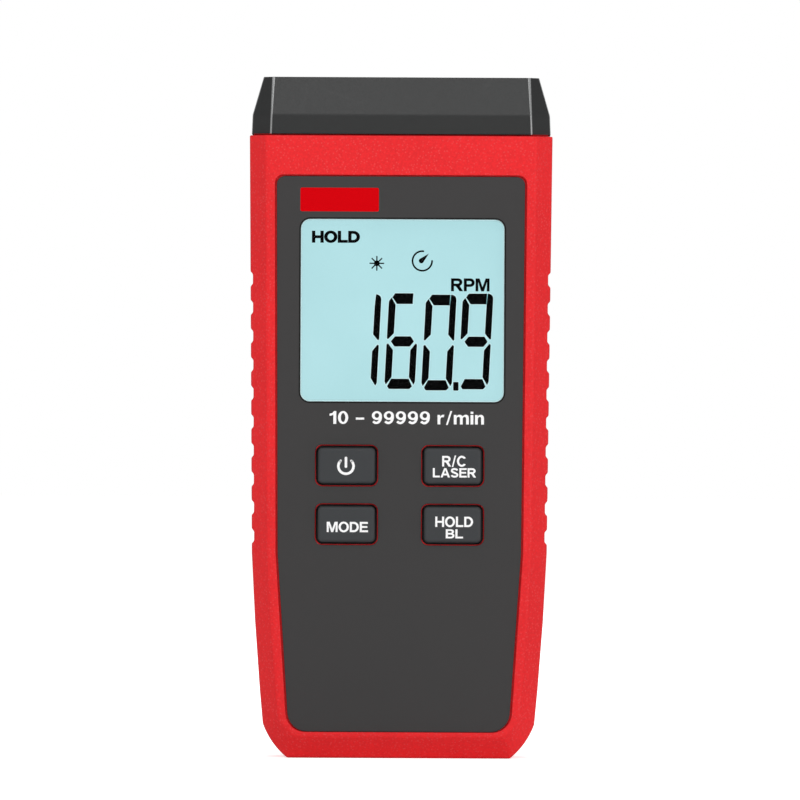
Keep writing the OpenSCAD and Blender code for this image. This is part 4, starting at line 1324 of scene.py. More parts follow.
@dataclass
class Lettering:
    """A word set to fill a box on a face that looks towards -Y."""

    text: str
    box: Box
    face: float
    proud: float = 0.03
    weight: float = 0.0
    spacing: float = 0.12

    @staticmethod
    def turned(loop: Loop) -> Loop:
        """Returns a loop in counterclockwise order."""
        area = sum(a[0] * b[1] - b[0] * a[1] for a, b in zip(loop, loop[1:] + loop[:1]))
        return loop if area > 0 else loop[::-1]

    def add_to(self, solid: Solid, mark: int = 0) -> None:
        """Adds the word to a solid under way.

        Args:
            solid: The solid.
            mark: Number of its finish there.
        """
        pen = 0.0
        shapes: list[Shape] = []
        for letter in self.text:
            width, parts = TYPEFACE.signs[letter]
            shapes.extend([[(x + pen, z) for x, z in loop] for loop in part] for part in parts)
            pen += width + self.spacing
        xs = [x for shape in shapes for x, _ in shape[0]]
        zs = [z for shape in shapes for _, z in shape[0]]
        x0, z0 = self.box[0] + self.weight, self.box[2] + self.weight
        across = (self.box[1] - self.weight - x0) / (max(xs) - min(xs))
        up = (self.box[3] - self.weight - z0) / (max(zs) - min(zs))
        for shape in shapes:
            fitted = []
            for loop in shape:
                spots = [(x0 + (x - min(xs)) * across, z0 + (z - min(zs)) * up) for x, z in loop]
                fitted.append(grown_outline(self.turned(spots), -self.weight if fitted else self.weight))
            solid.plate(fitted, self.face - self.proud, self.face, mark)


# Sub-assemblies


class ScrewRecipe(Recipe):
    """A cross-recess screw at each place, its head towards local +Z."""

    def __init__(self) -> None:
        """Builds the tree."""
        super().__init__("cross_screws", {
            "Shank Radius": 0.00125, "Length": 0.009, "Head Radius": 0.0022, "Head Height": 0.0016,
            "Recess": 0.0007, "Tilt": 0.0,
        })
        sheet, given = self.sheet, self.given

        def shifted(part: bpy.types.NodeSocket, rise: bpy.types.NodeSocket) -> bpy.types.NodeSocket:
            """Moves a part up.

            Args:
                part: The part.
                rise: How far.

            Returns:
                The moved part.
            """
            lift = sheet.add("ShaderNodeCombineXYZ", {2: rise})
            return sheet.add(
                "GeometryNodeTransform", {"Geometry": part, "Translation": lift.outputs[0]}
            ).outputs[0]

        length = given["Length"]
        shank = sheet.add("GeometryNodeMeshCylinder", {
            "Vertices": 20, "Radius": given["Shank Radius"], "Depth": length,
        }).outputs[0]
        shank = shifted(shank, sheet.math("MULTIPLY", length, -0.5))
        rim = sheet.add("GeometryNodeMeshCone", {
            "Vertices": 32, "Radius Bottom": given["Head Radius"],
            "Radius Top": sheet.math("MULTIPLY", given["Head Radius"], 0.72),
            "Depth": sheet.math("MULTIPLY", given["Head Height"], 0.5),
        }).outputs[0]
        rim = shifted(rim, sheet.math("MULTIPLY", given["Head Height"], 0.5))
        seat_disc = sheet.add("GeometryNodeMeshCylinder", {
            "Vertices": 32, "Radius": given["Head Radius"],
            "Depth": sheet.math("MULTIPLY", given["Head Height"], 0.52),
        }).outputs[0]
        seat_disc = shifted(seat_disc, sheet.math("MULTIPLY", given["Head Height"], 0.26))
        slots = []
        for axis in (0, 1):
            span = sheet.math("MULTIPLY", given["Head Radius"], 1.2)
            deep = sheet.math("MULTIPLY", given["Head Height"], 1.2)
            sizes = {0: span, 1: given["Recess"]} if axis == 0 else {0: given["Recess"], 1: span}
            size = sheet.add("ShaderNodeCombineXYZ", {**sizes, 2: deep})
            cut = sheet.add("GeometryNodeMeshCube", {"Size": size.outputs[0]}).outputs[0]
            slots.append(shifted(cut, sheet.math("MULTIPLY", given["Head Height"], 1.05)))
        head = sheet.add("GeometryNodeMeshBoolean", operation="UNION")
        self.tree.links.new(rim, head.inputs["Mesh 2"])
        self.tree.links.new(seat_disc, head.inputs["Mesh 2"])
        self.tree.links.new(shank, head.inputs["Mesh 2"])
        recessed = sheet.add("GeometryNodeMeshBoolean", {"Mesh 1": head.outputs[0]}, operation="DIFFERENCE")
        for cut in slots:
            self.tree.links.new(cut, recessed.inputs["Mesh 2"])
        tilt = sheet.add("ShaderNodeCombineXYZ", {0: given["Tilt"]})
        turn = sheet.add("FunctionNodeEulerToRotation", {0: tilt.outputs[0]})
        self.close(self.at_places(recessed.outputs[0], turn.outputs[0]), Finish.SCREW_STEEL)


@dataclass
class Housing:
    """The red shells, the battery door, the head cap, the face panel and their screws."""

    shell_ease: float = 0.22
    cap_ease: float = 0.3
    panel_ease: float = 0.09
    screw_head: Flat = (2.2, 1.6)
    screw_shank: Flat = (1.25, 9.0)
    screw_recess: float = 0.7
    screw_room: float = 6.0

    def build(self) -> None:
        """Builds and dresses every outer moulding."""
        for node, name, body, ease, finish in (
            ("battery_door", "battery_door_skin", "door", self.shell_ease, Finish.RED_HOUSING),
            ("face_panel", "face_panel_skin", "housing", self.panel_ease, Finish.GREY_PANEL),
        ):
            seat(EasedCopy(node, name, ease).make(finish), body, finish, node)
        for node in ("front_shell", "rear_shell"):
            shell = ShellSkin(node, f"{node}_skin", self.shell_ease)
            seat(shell.make(Finish.RED_HOUSING, Finish.BLACK_PRINT_AND_SHADOW), "housing", Finish.RED_HOUSING, node)
        # The cap's second finish is a painted highlight on the rounds of its corner facets
        cap = CapSkin("head_cap", "head_cap_skin", self.cap_ease, segments=4)
        seat(cap.make(Finish.GREY_CAP, Finish.CAP_HIGHLIGHT), "housing", Finish.GREY_CAP, "head_cap")
        self.screws()

    def screws(self) -> None:
        """Sets the four housing screws in the rear shell's wells."""
        radius, height = self.screw_head
        seat_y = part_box("housing_screws")[1].y / MM - height
        spots = self._places("housing_screws", seat_y)
        piece = ScrewRecipe().bake("housing_screw_set", spots, {
            "Shank Radius": self.screw_shank[0] * MM, "Length": self.screw_shank[1] * MM,
            "Head Radius": radius * MM, "Head Height": height * MM,
            "Recess": self.screw_recess * MM, "Tilt": -math.pi / 2,
        })
        seat(piece, "housing", Finish.SCREW_STEEL, "housing_screws")

    def _places(self, node: str, depth: float) -> list[Point]:
        """Finds the middle of each screw of a solid.

        Args:
            node: The screws' solid.
            depth: Depth of their seats.

        Returns:
            One point for each screw.
        """
        groups: list[list[Vector]] = []
        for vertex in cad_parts[node].data.vertices:
            spot = vertex.co / MM
            for group in groups:
                if max(abs(group[0].x - spot.x), abs(group[0].z - spot.z)) < self.screw_room:
                    group.append(spot)
                    break
            else:
                groups.append([spot])
        places = []
        for group in groups:
            xs, zs = [p.x for p in group], [p.z for p in group]
            places.append(((min(xs) + max(xs)) / 2, depth, (min(zs) + max(zs)) / 2))
        return places


class ArcRecipe(Recipe):
    """A round-ended stroke along an arc that looks towards -Y, at each place."""

    def __init__(self, name: str, finish: Finish) -> None:
        """Builds the tree.

        Args:
            name: Its name.
            finish: Finish of the stroke.
        """
        super().__init__(name, {
            "Radius": 0.002, "Stroke": 0.0006, "Thickness": 0.00003,
            "Start": 0.0, "Sweep": 5.0, "Steps": 40,
        })
        sheet, given = self.sheet, self.given
        arc = sheet.add("GeometryNodeCurveArc", {
            "Resolution": given["Steps"], "Radius": given["Radius"],
            "Start Angle": given["Start"], "Sweep Angle": given["Sweep"],
        })
        band = self.swept(arc.outputs[0], True)
        disc = sheet.add("GeometryNodeMeshCylinder", {
            "Vertices": 20, "Radius": sheet.math("MULTIPLY", given["Stroke"], 0.5),
            "Depth": given["Thickness"],
        })
        tips = sheet.add("GeometryNodeCurveEndpointSelection", {"Start Size": 1, "End Size": 1})
        ends = sheet.add("GeometryNodeInstanceOnPoints", {
            "Points": arc.outputs[0], "Selection": tips.outputs[0], "Instance": disc.outputs[0],
        })
        whole = self.join(band, ends.outputs[0])
        self.close(self.at_places(whole, FACING_FRONT), finish)


class FrameRecipe(Recipe):
    """A thin frame along a rounded rectangle that looks towards -Y, at each place."""

    def __init__(self, name: str, finish: Finish) -> None:
        """Builds the tree.

        Args:
            name: Its name.
            finish: Finish of the frame.
        """
        super().__init__(name, {
            "Width": 0.04, "Height": 0.036, "Corner": 0.002, "Stroke": 0.0003, "Thickness": 0.00003,
        })
        sheet, given = self.sheet, self.given
        path = sheet.add("GeometryNodeCurvePrimitiveQuadrilateral", {
            "Width": given["Width"], "Height": given["Height"],
        })
        bent = sheet.add(
            "GeometryNodeFilletCurve", {"Curve": path.outputs[0], "Radius": given["Corner"], "Count": 8},
            mode="POLY",
        )
        self.close(self.at_places(self.swept(bent.outputs[0]), FACING_FRONT), finish)


class StarRecipe(Recipe):
    """A small burst of rays about a disc that looks towards -Y, at each place."""

    def __init__(self, finish: Finish) -> None:
        """Builds the tree.

        Args:
            finish: Finish of the burst.
        """
        super().__init__("ray_burst", {
            "Rays": 8, "Core": 0.0006, "Reach": 0.0016, "Ray Width": 0.0003, "Thickness": 0.00003,
        })
        sheet, given = self.sheet, self.given
        middle = sheet.math("MULTIPLY", given["Reach"], 0.5)
        ring = sheet.add("GeometryNodeMeshCircle", {"Vertices": given["Rays"], "Radius": middle})
        size = sheet.add("ShaderNodeCombineXYZ", {
            0: given["Reach"], 1: given["Ray Width"], 2: given["Thickness"],
        })
        ray = sheet.add("GeometryNodeMeshCube", {"Size": size.outputs[0]})
        where = sheet.add("GeometryNodeInputPosition")
        turn = sheet.add("FunctionNodeAlignRotationToVector", {"Vector": where.outputs[0]}, axis="X")
        rays = sheet.add("GeometryNodeInstanceOnPoints", {
            "Points": ring.outputs[0], "Instance": ray.outputs[0], "Rotation": turn.outputs[0],
        })
        core = sheet.add("GeometryNodeMeshCylinder", {
            "Vertices": 24, "Radius": given["Core"], "Depth": given["Thickness"],
        })
        whole = self.join(rays.outputs[0], core.outputs[0])
        self.close(self.at_places(whole, FACING_FRONT), finish)


@dataclass
class Display:
    """The lens, the display cell and what the cell shows."""

    digits: tuple[tuple[str, float, float], ...] = (
        ("1", -7.475, 85.15), ("6", 0.343, 85.4), ("0", 7.9, 85.14), ("9", 15.42, 85.4)
    )
    slant: float = 0.05
    layer: float = 0.03
    swell: float = 0.03
    halo: float = 0.12
    point_at: Flat = (11.42, 76.2)
    point_size: Flat = (1.1, 1.78)
    point_r: float = 0.2
    hold_box: Box = (-18.18, -8.34, 105.42, 107.96)
    hold_weight: float = 0.11
    unit_box: Box = (10.33, 18.22, 95.66, 98.3)
    unit_weight: float = 0.06
    gauge_at: Flat = (4.43, 101.83)
    gauge_r: float = 2.0
    gauge_stroke: float = 0.36
    gauge_turn: Flat = (84.0, 276.0)
    needle_r: float = 0.52
    needle_tip: Flat = (1.36, 1.52)
    burst_at: Flat = (-4.87, 101.3)
    burst_core: float = 0.6
    burst_reach: float = 1.5
    burst_ray: float = 0.26
    lens_lip: float = LENS_LIP
    window_r: float = 1.9
    highlight_w: float = 0.2
    shadow_line_w: float = 0.22
    line_gap: float = 0.1
    mask_w: float = 1.6
    lit: dict[str, str] = field(default_factory=lambda: {
        "0": "abcdef", "1": "bc", "6": "acdefg", "9": "abcdfg",
    })

    def segments(self) -> dict[str, Loop]:
        """Draws the seven segments about the middle of an upright digit.

        Returns:
            Each segment's outline, counterclockwise.
        """
        corner = oval(2.08, 8.75, 1.02, 1.02, 0, 85, 4)
        return {
            "a": [(-2.42, 8.98), (-1.42, 7.63), (1.76, 7.63), (1.8, 9.77), (-1.9, 9.77)],
            "b": [(2.87, 0.42), (3.1, 0.56), *corner, (2.0, 9.77), (1.86, 7.4), (1.84, 1.62)],
            "c": [(1.83, -1.84), (1.83, -7.33), (2.83, -8.87), (3.1, -8.25), (3.1, -0.7), (2.83, -0.5)],
            "d": [(-2.16, -9.77), (2.0, -9.77), (2.5, -9.25), (1.78, -7.73), (-1.8, -7.73),
                  (-2.52, -9.25)],
            "e": [(-3.1, -0.7), (-3.1, -8.25), (-2.83, -8.87), (-1.75, -7.33), (-1.75, -1.84),
                  (-2.83, -0.5)],
            "f": [(-3.1, 8.13), (-3.1, 0.56), (-2.87, 0.42), (-1.75, 1.62), (-1.72, 7.42), (-2.6, 8.88)],
            "g": [(-2.26, -0.07), (-1.48, -1.08), (1.64, -1.08), (2.44, -0.07), (1.74, 0.96),
                  (-1.48, 0.96)],
        }

    def build(self) -> None:
        """Builds the image on the cell and dresses the display's pieces."""
        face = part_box("display_cell")[0].y / MM
        outlines = []
        shapes = self.segments()
        for digit, x, z in self.digits:
            for name in self.lit[digit]:
                outline = [(x + u + v * self.slant, z + v) for u, v in shapes[name]]
                outlines.append(grown_outline(outline, self.swell))
        outlines.append(rounded_outline(*self.point_size, self.point_r, 3, self.point_at))
        # A pale glowing band round each digit and the point: a painted highlight
        glow = Solid("display_painted_highlight")
        ink = Solid("display_digits")
        for outline in outlines:
            glow.prism(grown_outline(outline, self.halo), face - self.layer * 0.5, face)
            ink.prism(outline, face - self.layer, face)
        glow.seated("housing", Finish.DISPLAY_GLOW_HIGHLIGHT)
        ink.seated("housing", Finish.DISPLAY_INK)
        self.words(face)
        self.icons(face)
        self.frames()
        for node, finish in (
            ("display_window", Finish.CLEAR_LENS), ("display_cell", Finish.DISPLAY_GLASS),
            ("display_frame", Finish.WHITE_PLASTIC), ("backlight_panel", Finish.WHITE_PLASTIC),
            ("backlight_leds", Finish.LED_RESIN), ("contact_strip", Finish.STRIP_RUBBER),
        ):
            FinishBook.dress(node, finish)

    def words(self, face: float) -> None:
        """Sets the display's two words.

        Args:
            face: Depth of the cell's face.
        """
        words = Solid("display_words")
        Lettering("HOLD", self.hold_box, face, self.layer, self.hold_weight).add_to(words)
        Lettering("RPM", self.unit_box, face, self.layer, self.unit_weight).add_to(words)
        words.seated("housing", Finish.DISPLAY_INK)

    def icons(self, face: float) -> None:
        """Sets the gauge and the ray burst on the display.

        Args:
            face: Depth of the cell's face.
        """
        depth = face - self.layer / 2
        gauge = ArcRecipe("gauge_ring", Finish.DISPLAY_INK).bake(
            "display_gauge_ring", [(self.gauge_at[0], depth, self.gauge_at[1])],
            {"Radius": self.gauge_r * MM, "Stroke": self.gauge_stroke * MM, "Thickness": self.layer * MM,
             "Start": math.radians(self.gauge_turn[0]), "Sweep": math.radians(self.gauge_turn[1]),
             "Steps": 48},
        )
        seat(gauge, "housing", Finish.DISPLAY_INK)
        needle = Solid("display_gauge_needle")
        x, z = self.gauge_at
        tail = oval(x - 0.2, z + 0.02, self.needle_r, self.needle_r, 110, 340, 10)
        needle.prism([*tail, (x + self.needle_tip[0], z + self.needle_tip[1])], face - self.layer, face)
        needle.seated("housing", Finish.DISPLAY_INK)
        burst = StarRecipe(Finish.DISPLAY_INK).bake(
            "display_ray_burst", [(self.burst_at[0], depth, self.burst_at[1])],
            {"Rays": 8, "Core": self.burst_core * MM, "Reach": self.burst_reach * MM,
             "Ray Width": self.burst_ray * MM, "Thickness": self.layer * MM},
        )
        seat(burst, "housing", Finish.DISPLAY_INK)

    def frames(self) -> None:
        """Sets a painted highlight on the lens's edge, a painted shadow line round the window and its mask.
        """
        low, high = (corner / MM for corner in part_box("display_window"))
        x, z = (low.x + high.x) / 2, (low.z + high.z) / 2
        width, height = high.x - low.x - 2 * self.lens_lip, high.z - low.z - 2 * self.lens_lip
        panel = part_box("face_panel")[0].y / MM
        for part, finish, depth, stroke, out in (
            # rim: a painted highlight along the lens's edge
            ("rim", Finish.WINDOW_HIGHLIGHT, low.y, self.highlight_w, -self.highlight_w / 2),
            # line: painted shadow, a dark line round the window where the panel's edge shades the lens
            ("line", Finish.BLACK_PRINT_AND_SHADOW, panel, self.shadow_line_w, self.line_gap + self.shadow_line_w / 2),
            ("mask", Finish.BLACK_PRINT_AND_SHADOW, high.y, self.mask_w, self.line_gap + self.mask_w / 2),
        ):
            name = f"display_window_{part}"
            piece = FrameRecipe(f"{name}_path", finish).bake(name, [(x, depth - self.layer / 2, z)], {
                "Width": (width + 2 * out) * MM, "Height": (height + 2 * out) * MM,
                "Corner": (self.window_r + out) * MM, "Stroke": stroke * MM, "Thickness": self.layer * MM,
            })
            seat(piece, "housing", finish)


@dataclass
class FacePrint:
    """What is printed on the face panel."""

    plate: Box = (-20.55, -4.5, 111.85, 116.7)
    plate_r: float = 0.35
    range_box: Box = (-14.38, 17.18, 68.3, 71.13)
    layer: float = 0.03

    def build(self) -> None:
        """Builds the bare colour field and the measuring range."""
        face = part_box("face_panel")[0].y / MM
        x0, x1, z0, z1 = self.plate
        field_print = Solid("face_colour_field")
        outline = rounded_outline(x1 - x0, z1 - z0, self.plate_r, 4, ((x0 + x1) / 2, (z0 + z1) / 2))
        field_print.prism(outline, face - self.layer, face)
        field_print.seated("housing", Finish.PLATE_RED)
        line = Solid("face_range_print")
        Lettering("10 – 99999 r/min", self.range_box, face, self.layer).add_to(line)
        line.seated("housing", Finish.PRINT_WHITE)


class Key(Enum):
    """The four keys, by what they do."""

    POWER = "power"
    MODE = "mode"
    LASER = "laser"
    HOLD = "hold"


@dataclass
class Keypad:
    """The keys with their legends, the rubber mat under them and its contact pills."""

    size: Flat = (11.7, 7.3)
    corner: float = 0.9
    edge: float = 0.62
    top_inset: float = 2.6
    flange: float = 1.4
    flange_t: float = 0.9
    flange_drop: float = 2.8
    post_r: float = 2.2
    print_t: float = 0.025
    print_weight: float = 0.025
    legends: dict[Key, tuple[tuple[str, Box], ...]] = field(
        default_factory=lambda: {
            Key.MODE: (("MODE", (-14.85, -6.42, 46.25, 48.44)),),
            Key.LASER: (("R/C", (8.67, 13.49, 59.71, 62.06)), ("LASER", (6.78, 15.6, 57.53, 59.5))),
            Key.HOLD: (("HOLD", (7.32, 15.05, 47.4, 49.6)), ("BL", (9.48, 13.01, 45.11, 46.98))),
        }
    )
    power_at: Flat = (-10.985, 59.77)
    power_r: float = 1.55
    power_turn: Flat = (136.0, 268.0)
    power_bar: Flat = (2.27, 0.79)
    power_stroke: float = 0.52
    mat_t: float = 1.0
    mat_r: float = 2.0
    dome_r: float = 4.2
    dome_wall: float = 0.6
    dome_fit: float = 0.01
    roof_t: float = 0.8

    def build(self) -> None:
        """Builds the keys and dresses what lies under them."""
        for key in Key:
            node = f"{key.value}_key"
            low, high = (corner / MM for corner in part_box(node))
            seat(self.cap(key, low, high), f"{key.value}_button", Finish.KEY_RUBBER, node)
            face = low.y
            if key is Key.POWER:
                self.power_mark(face)
            else:
                legend = Solid(f"{key.value}_legend")
                for text, box in self.legends[key]:
                    word = Lettering(text, box, face + self.print_t, self.print_t, self.print_weight)
                    word.add_to(legend)
                legend.seated(f"{key.value}_button", Finish.PRINT_WHITE)
            FinishBook.dress(f"{key.value}_pill", Finish.CARBON_PILL)
        self.mat()

    def cap(self, key: Key, low: Vector, high: Vector) -> bpy.types.Object:
        """Lofts one key: a flat top with a rolled edge, a flange and a post.

        Args:
            key: Which key.
            low: Lowest corner of its solid.
            high: Highest corner of its solid.

        Returns:
            The key.
        """
        x, z = (low.x + high.x) / 2, (low.z + high.z) / 2
        top = low.y + self.print_t
        flange_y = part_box("front_shell")[0].y / MM + self.flange_drop
        width, height = self.size

        def ring(inset: float, depth: float) -> list[Point]:
            """Draws the key's outline, moved in.

            Args:
                inset: How far in.
                depth: Depth of the ring.

            Returns:
                The ring.
            """
            radius = max(0.2, self.corner - inset * 0.5)
            return [(a, depth, b) for a, b in rounded_outline(
                width - 2 * inset, height - 2 * inset, radius, 6, (x, z))]

        rings = [ring(self.top_inset, top), ring(self.edge + 0.25, top)]
        for angle in range(0, 91, 15):
            a = math.radians(angle)
            rings.append(ring(self.edge * (1 - math.sin(a)), top + self.edge * (1 - math.cos(a))))
        rings.append(ring(0.0, flange_y))
        rings.append(ring(-self.flange, flange_y))
        rings.append(ring(-self.flange, flange_y + self.flange_t))
        for depth in (flange_y + self.flange_t, high.y):
            post = []
            for a, b in rounded_outline(width, height, self.corner, 6):
                angle = math.atan2(b, a)
                post.append((x + self.post_r * math.cos(angle), depth, z + self.post_r * math.sin(angle)))
            rings.append(post)
        solid = Solid(f"{key.value}_key_cap")
        solid.loft(rings)
        return solid.finish([Finish.KEY_RUBBER], 40.0)

    def mat(self) -> None:
        """Lays the rubber mat, with a dome under each key."""
        low, high = (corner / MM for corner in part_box("keypad_mat"))
        front, roof = high.y - self.mat_t, low.y + self.roof_t
        middle = (low.x + high.x) / 2, (low.z + high.z) / 2
        shape = [rounded_outline(high.x - low.x, high.z - low.z, self.mat_r, 6, middle)]
        for key in Key:
            first, last = (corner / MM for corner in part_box(f"{key.value}_key"))
            x, z = (first.x + last.x) / 2, (first.z + last.z) / 2
            hole_r = self.dome_r + self.dome_fit
            shape.append(oval(x, z, hole_r, hole_r, steps=40))
            dome = Solid(f"{key.value}_dome")
            dome.loft([
                [(a, depth, b) for a, b in oval(x, z, radius, radius, steps=40)]
                for radius, depth in (
                    (self.post_r, roof), (self.dome_r - self.dome_wall, high.y), (self.dome_r, high.y),
                    (self.dome_r, front), (self.dome_r - 0.35, front - 0.05), (self.post_r + 0.5, low.y),
                )
            ])
            piece = dome.finish([Finish.MAT_RUBBER])
            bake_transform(piece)
            FinishBook.slot(Finish.MAT_RUBBER)
            rubber = Finish.MAT_RUBBER.value.name
            log.info("%s: from housing to %s_button, %s", piece.name, key.value, rubber)
        sheet = Solid("keypad_sheet")
        sheet.plate(shape, front, high.y)
        sheet.seated("housing", Finish.MAT_RUBBER, "keypad_mat")

    def power_mark(self, face: float) -> None:
        """Prints the on-off symbol: a broken ring and a bar.

        Args:
            face: Depth of the key's face.
        """
        x, z = self.power_at
        ring = ArcRecipe("on_off_ring", Finish.PRINT_WHITE).bake(
            "power_legend_ring", [(x, face + self.print_t / 2, z)],
            {"Radius": self.power_r * MM, "Stroke": self.power_stroke * MM, "Thickness": self.print_t * MM,
             "Start": math.radians(self.power_turn[0]), "Sweep": math.radians(self.power_turn[1]),
             "Steps": 40},
        )
        seat(ring, "power_button", Finish.PRINT_WHITE)
        bar = Solid("power_legend_bar")
        length, rise = self.power_bar
        outline = rounded_outline(self.power_stroke, length, self.power_stroke * 0.45, 6, (x, z + rise))
        bar.prism(outline, face, face + self.print_t)
        bar.seated("power_button", Finish.PRINT_WHITE)


@dataclass
class Optics:
    """The filter window on the cap and the laser and receiver behind it."""

    window_ease: float = 0.14

    def build(self) -> None:
        """Builds the window and dresses the optics."""
        window = EasedCopy("optic_window", "optic_window_pane", self.window_ease).make(Finish.OPTIC_FILTER)
        seat(window, "housing", Finish.OPTIC_FILTER, "optic_window")
        for node, finish in (
            ("laser_barrel", Finish.TURNED_BRASS), ("laser_lens", Finish.LENS_GLASS),
            ("laser_diode", Finish.TURNED_BRASS), ("receiver_tube", Finish.BLACK_PLASTIC),
            ("receiver_lens", Finish.LENS_GLASS), ("photodiode", Finish.RED_RESIN),
            ("optics_board", Finish.BOARD_LAMINATE), ("optics_screws", Finish.SCREW_STEEL),
        ):
            FinishBook.dress(node, finish)


class CoilRecipe(Recipe):
    """A conical wire coil at each place, turned over where its flip says so."""

    def __init__(self) -> None:
        """Builds the tree."""
        super().__init__("contact_coils", {
            "Wire Radius": 0.00032, "Base Radius": 0.00385, "Tip Radius": 0.0022, "Rise": 0.0049,
            "Turns": 4.0,
        })
        sheet, given = self.sheet, self.given
        spiral = sheet.add("GeometryNodeCurveSpiral", {
            "Resolution": 28, "Rotations": given["Turns"], "Start Radius": given["Base Radius"],
            "End Radius": given["Tip Radius"], "Height": given["Rise"],
        })
        wire = sheet.add("GeometryNodeCurvePrimitiveCircle", {
            "Resolution": 10, "Radius": given["Wire Radius"],
        })
        coil = sheet.add("GeometryNodeCurveToMesh", {
            "Curve": spiral.outputs[0], "Profile Curve": wire.outputs[0], "Fill Caps": True,
        })
        rise = sheet.math("MULTIPLY", given["Wire Radius"], WIRE_LIFT)
        lift = sheet.add("ShaderNodeCombineXYZ", {2: rise})
        raised = sheet.add(
            "GeometryNodeTransform", {"Geometry": coil.outputs[0], "Translation": lift.outputs[0]}
        )
        flip = sheet.add("GeometryNodeInputNamedAttribute", {"Name": "flip"}, data_type="FLOAT")
        tilt = sheet.add("ShaderNodeCombineXYZ", {0: sheet.math("MULTIPLY", flip.outputs[0], math.pi)})
        turn = sheet.add("FunctionNodeEulerToRotation", {0: tilt.outputs[0]})
        self.close(self.at_places(raised.outputs[0], turn.outputs[0]), Finish.CONTACT_NICKEL)


@dataclass
class Power:
    """The three cells and the contacts that join them in a row."""

    cells: tuple[tuple[str, bool], ...] = (
        ("battery_left", False), ("battery_middle", True), ("battery_right", False)
    )
    cell_r: float = 5.25
    cell_l: float = 44.5
    spring_l: float = 5.6
    wire_r: float = 0.32
    coil_inset: float = 1.4
    coil_tip_r: float = 2.2
    coil_turns: float = 4.0
    band: float = 10.0
    sign_size: Flat = (3.0, 0.7)
    sign_inset: Flat = (6.6, 5.0)

    def build(self) -> None:
        """Builds the cells and the coils and dresses the contacts."""
        for node, flipped in self.cells:
            self.cell(node, flipped)
        self.coils()
        for name in ("positive", "negative", "upper_bridge", "lower_bridge"):
            FinishBook.dress(f"{name}_contact", Finish.CONTACT_NICKEL)

    def cell(self, node: str, flipped: bool) -> None:
        """Turns one cell: a sleeve with a coloured end and bare steel caps, with its two signs.

        Args:
            node: The solid that it stands for.
            flipped: Whether its raised end points down.
        """
        low, high = (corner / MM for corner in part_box(node))
        x, y = (low.x + high.x) / 2, (low.y + high.y) / 2
        r, length = self.cell_r, self.cell_l
        band_z = length - 1.9 - self.band
        profile = [
            (0.3, 0.0), (r - 1.2, 0.0), (r - 1.1, 0.15), (r - 0.5, 0.15), (r - 0.15, 0.3), (r, 0.65),
            (r, band_z), (r, band_z + 0.5), (r, length - 2.2), (r - 0.12, length - 1.75),
            (r - 0.4, length - 1.55), (r - 1.1, length - 1.55), (r - 1.3, length - 1.7),
            (2.1, length - 1.7), (1.9, length - 1.3), (1.9, length - 0.3), (1.6, length), (0.2, length),
        ]
        steel, sleeve, colour, line = 0, 1, 2, 3
        marks = [steel, steel, sleeve, sleeve, sleeve, sleeve, line, colour, colour, colour, colour,
                 steel, steel, steel, steel, steel, steel]
        if flipped:
            profile = [(a, length - b) for a, b in profile]
        solid = Solid(f"{node}_cell")
        solid.lathe(profile, (x, y, low.z), 48, marks)
        self.signs(solid, x, y, low.z, flipped, line)
        piece = solid.finish(
            [Finish.CAN_METAL, Finish.CELL_SLEEVE, Finish.CELL_BAND, Finish.PRINT_WHITE], 30.0
        )
        seat(piece, "housing", Finish.CELL_SLEEVE, node)

    def signs(self, solid: Solid, x: float, y: float, z: float, flipped: bool, mark: int) -> None:
        """Wraps a plus and a minus sign on the side of a cell that the door covers.

        Args:
            solid: The cell under way.
            x: Middle of the cell.
            y: Middle of the cell.
            z: Height of its lower end.
            flipped: Whether its raised end points down.
            mark: Number of the signs' finish.
        """
        plus, minus = self.cell_l - self.sign_inset[0], self.sign_inset[1]
        if flipped:
            plus, minus = self.cell_l - plus, self.cell_l - minus
        wide, thin = self.sign_size
        for height, width, tall in ((plus, wide, thin), (plus, thin, wide), (minus, wide, thin)):
            rings = []
            steps = max(2, round(width / 0.3))
            foot, top = z + height - tall / 2, z + height + tall / 2
            for step in range(steps + 1):
                angle = (step / steps - 0.5) * width / self.cell_r
                inner, outer = (
                    (x + radius * math.sin(angle), y + radius * math.cos(angle))
                    for radius in (self.cell_r - 0.05, self.cell_r + 0.015)
                )
                rings.append([(*inner, foot), (*outer, foot), (*outer, top), (*inner, top)])
            solid.loft(rings, mark)

    def coils(self) -> None:
        """Winds the three contact coils."""
        places, flips = [], []
        for node, flipped in self.cells:
            low, high = (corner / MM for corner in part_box(node))
            end = high.z + self.spring_l if flipped else low.z - self.spring_l
            places.append(((low.x + high.x) / 2, (low.y + high.y) / 2, end))
            flips.append(1.0 if flipped else 0.0)
        piece = CoilRecipe().bake("contact_coil_set", places, {
            "Wire Radius": self.wire_r * MM, "Base Radius": (self.cell_r - self.coil_inset) * MM,
            "Tip Radius": self.coil_tip_r * MM, "Rise": (self.spring_l - 2 * self.wire_r * WIRE_LIFT) * MM,
            "Turns": self.coil_turns,
        }, flips, 60.0)
        seat(piece, "housing", Finish.CONTACT_NICKEL, "contact_springs")


@dataclass
class Electronics:
    """The main board and what is soldered to it."""

    finishes: dict[str, Finish] = field(default_factory=lambda: {
        "main_board": Finish.BOARD_LAMINATE,
        "controller_chip": Finish.BLACK_PLASTIC,
        "pin_header": Finish.BLACK_PLASTIC,
        "crystal": Finish.CAN_METAL,
        "capacitors": Finish.CAN_METAL,
        "board_screws": Finish.SCREW_STEEL,
    })

    def build(self) -> None:
        """Dresses each piece."""
        for node, finish in self.finishes.items():
            FinishBook.dress(node, finish)


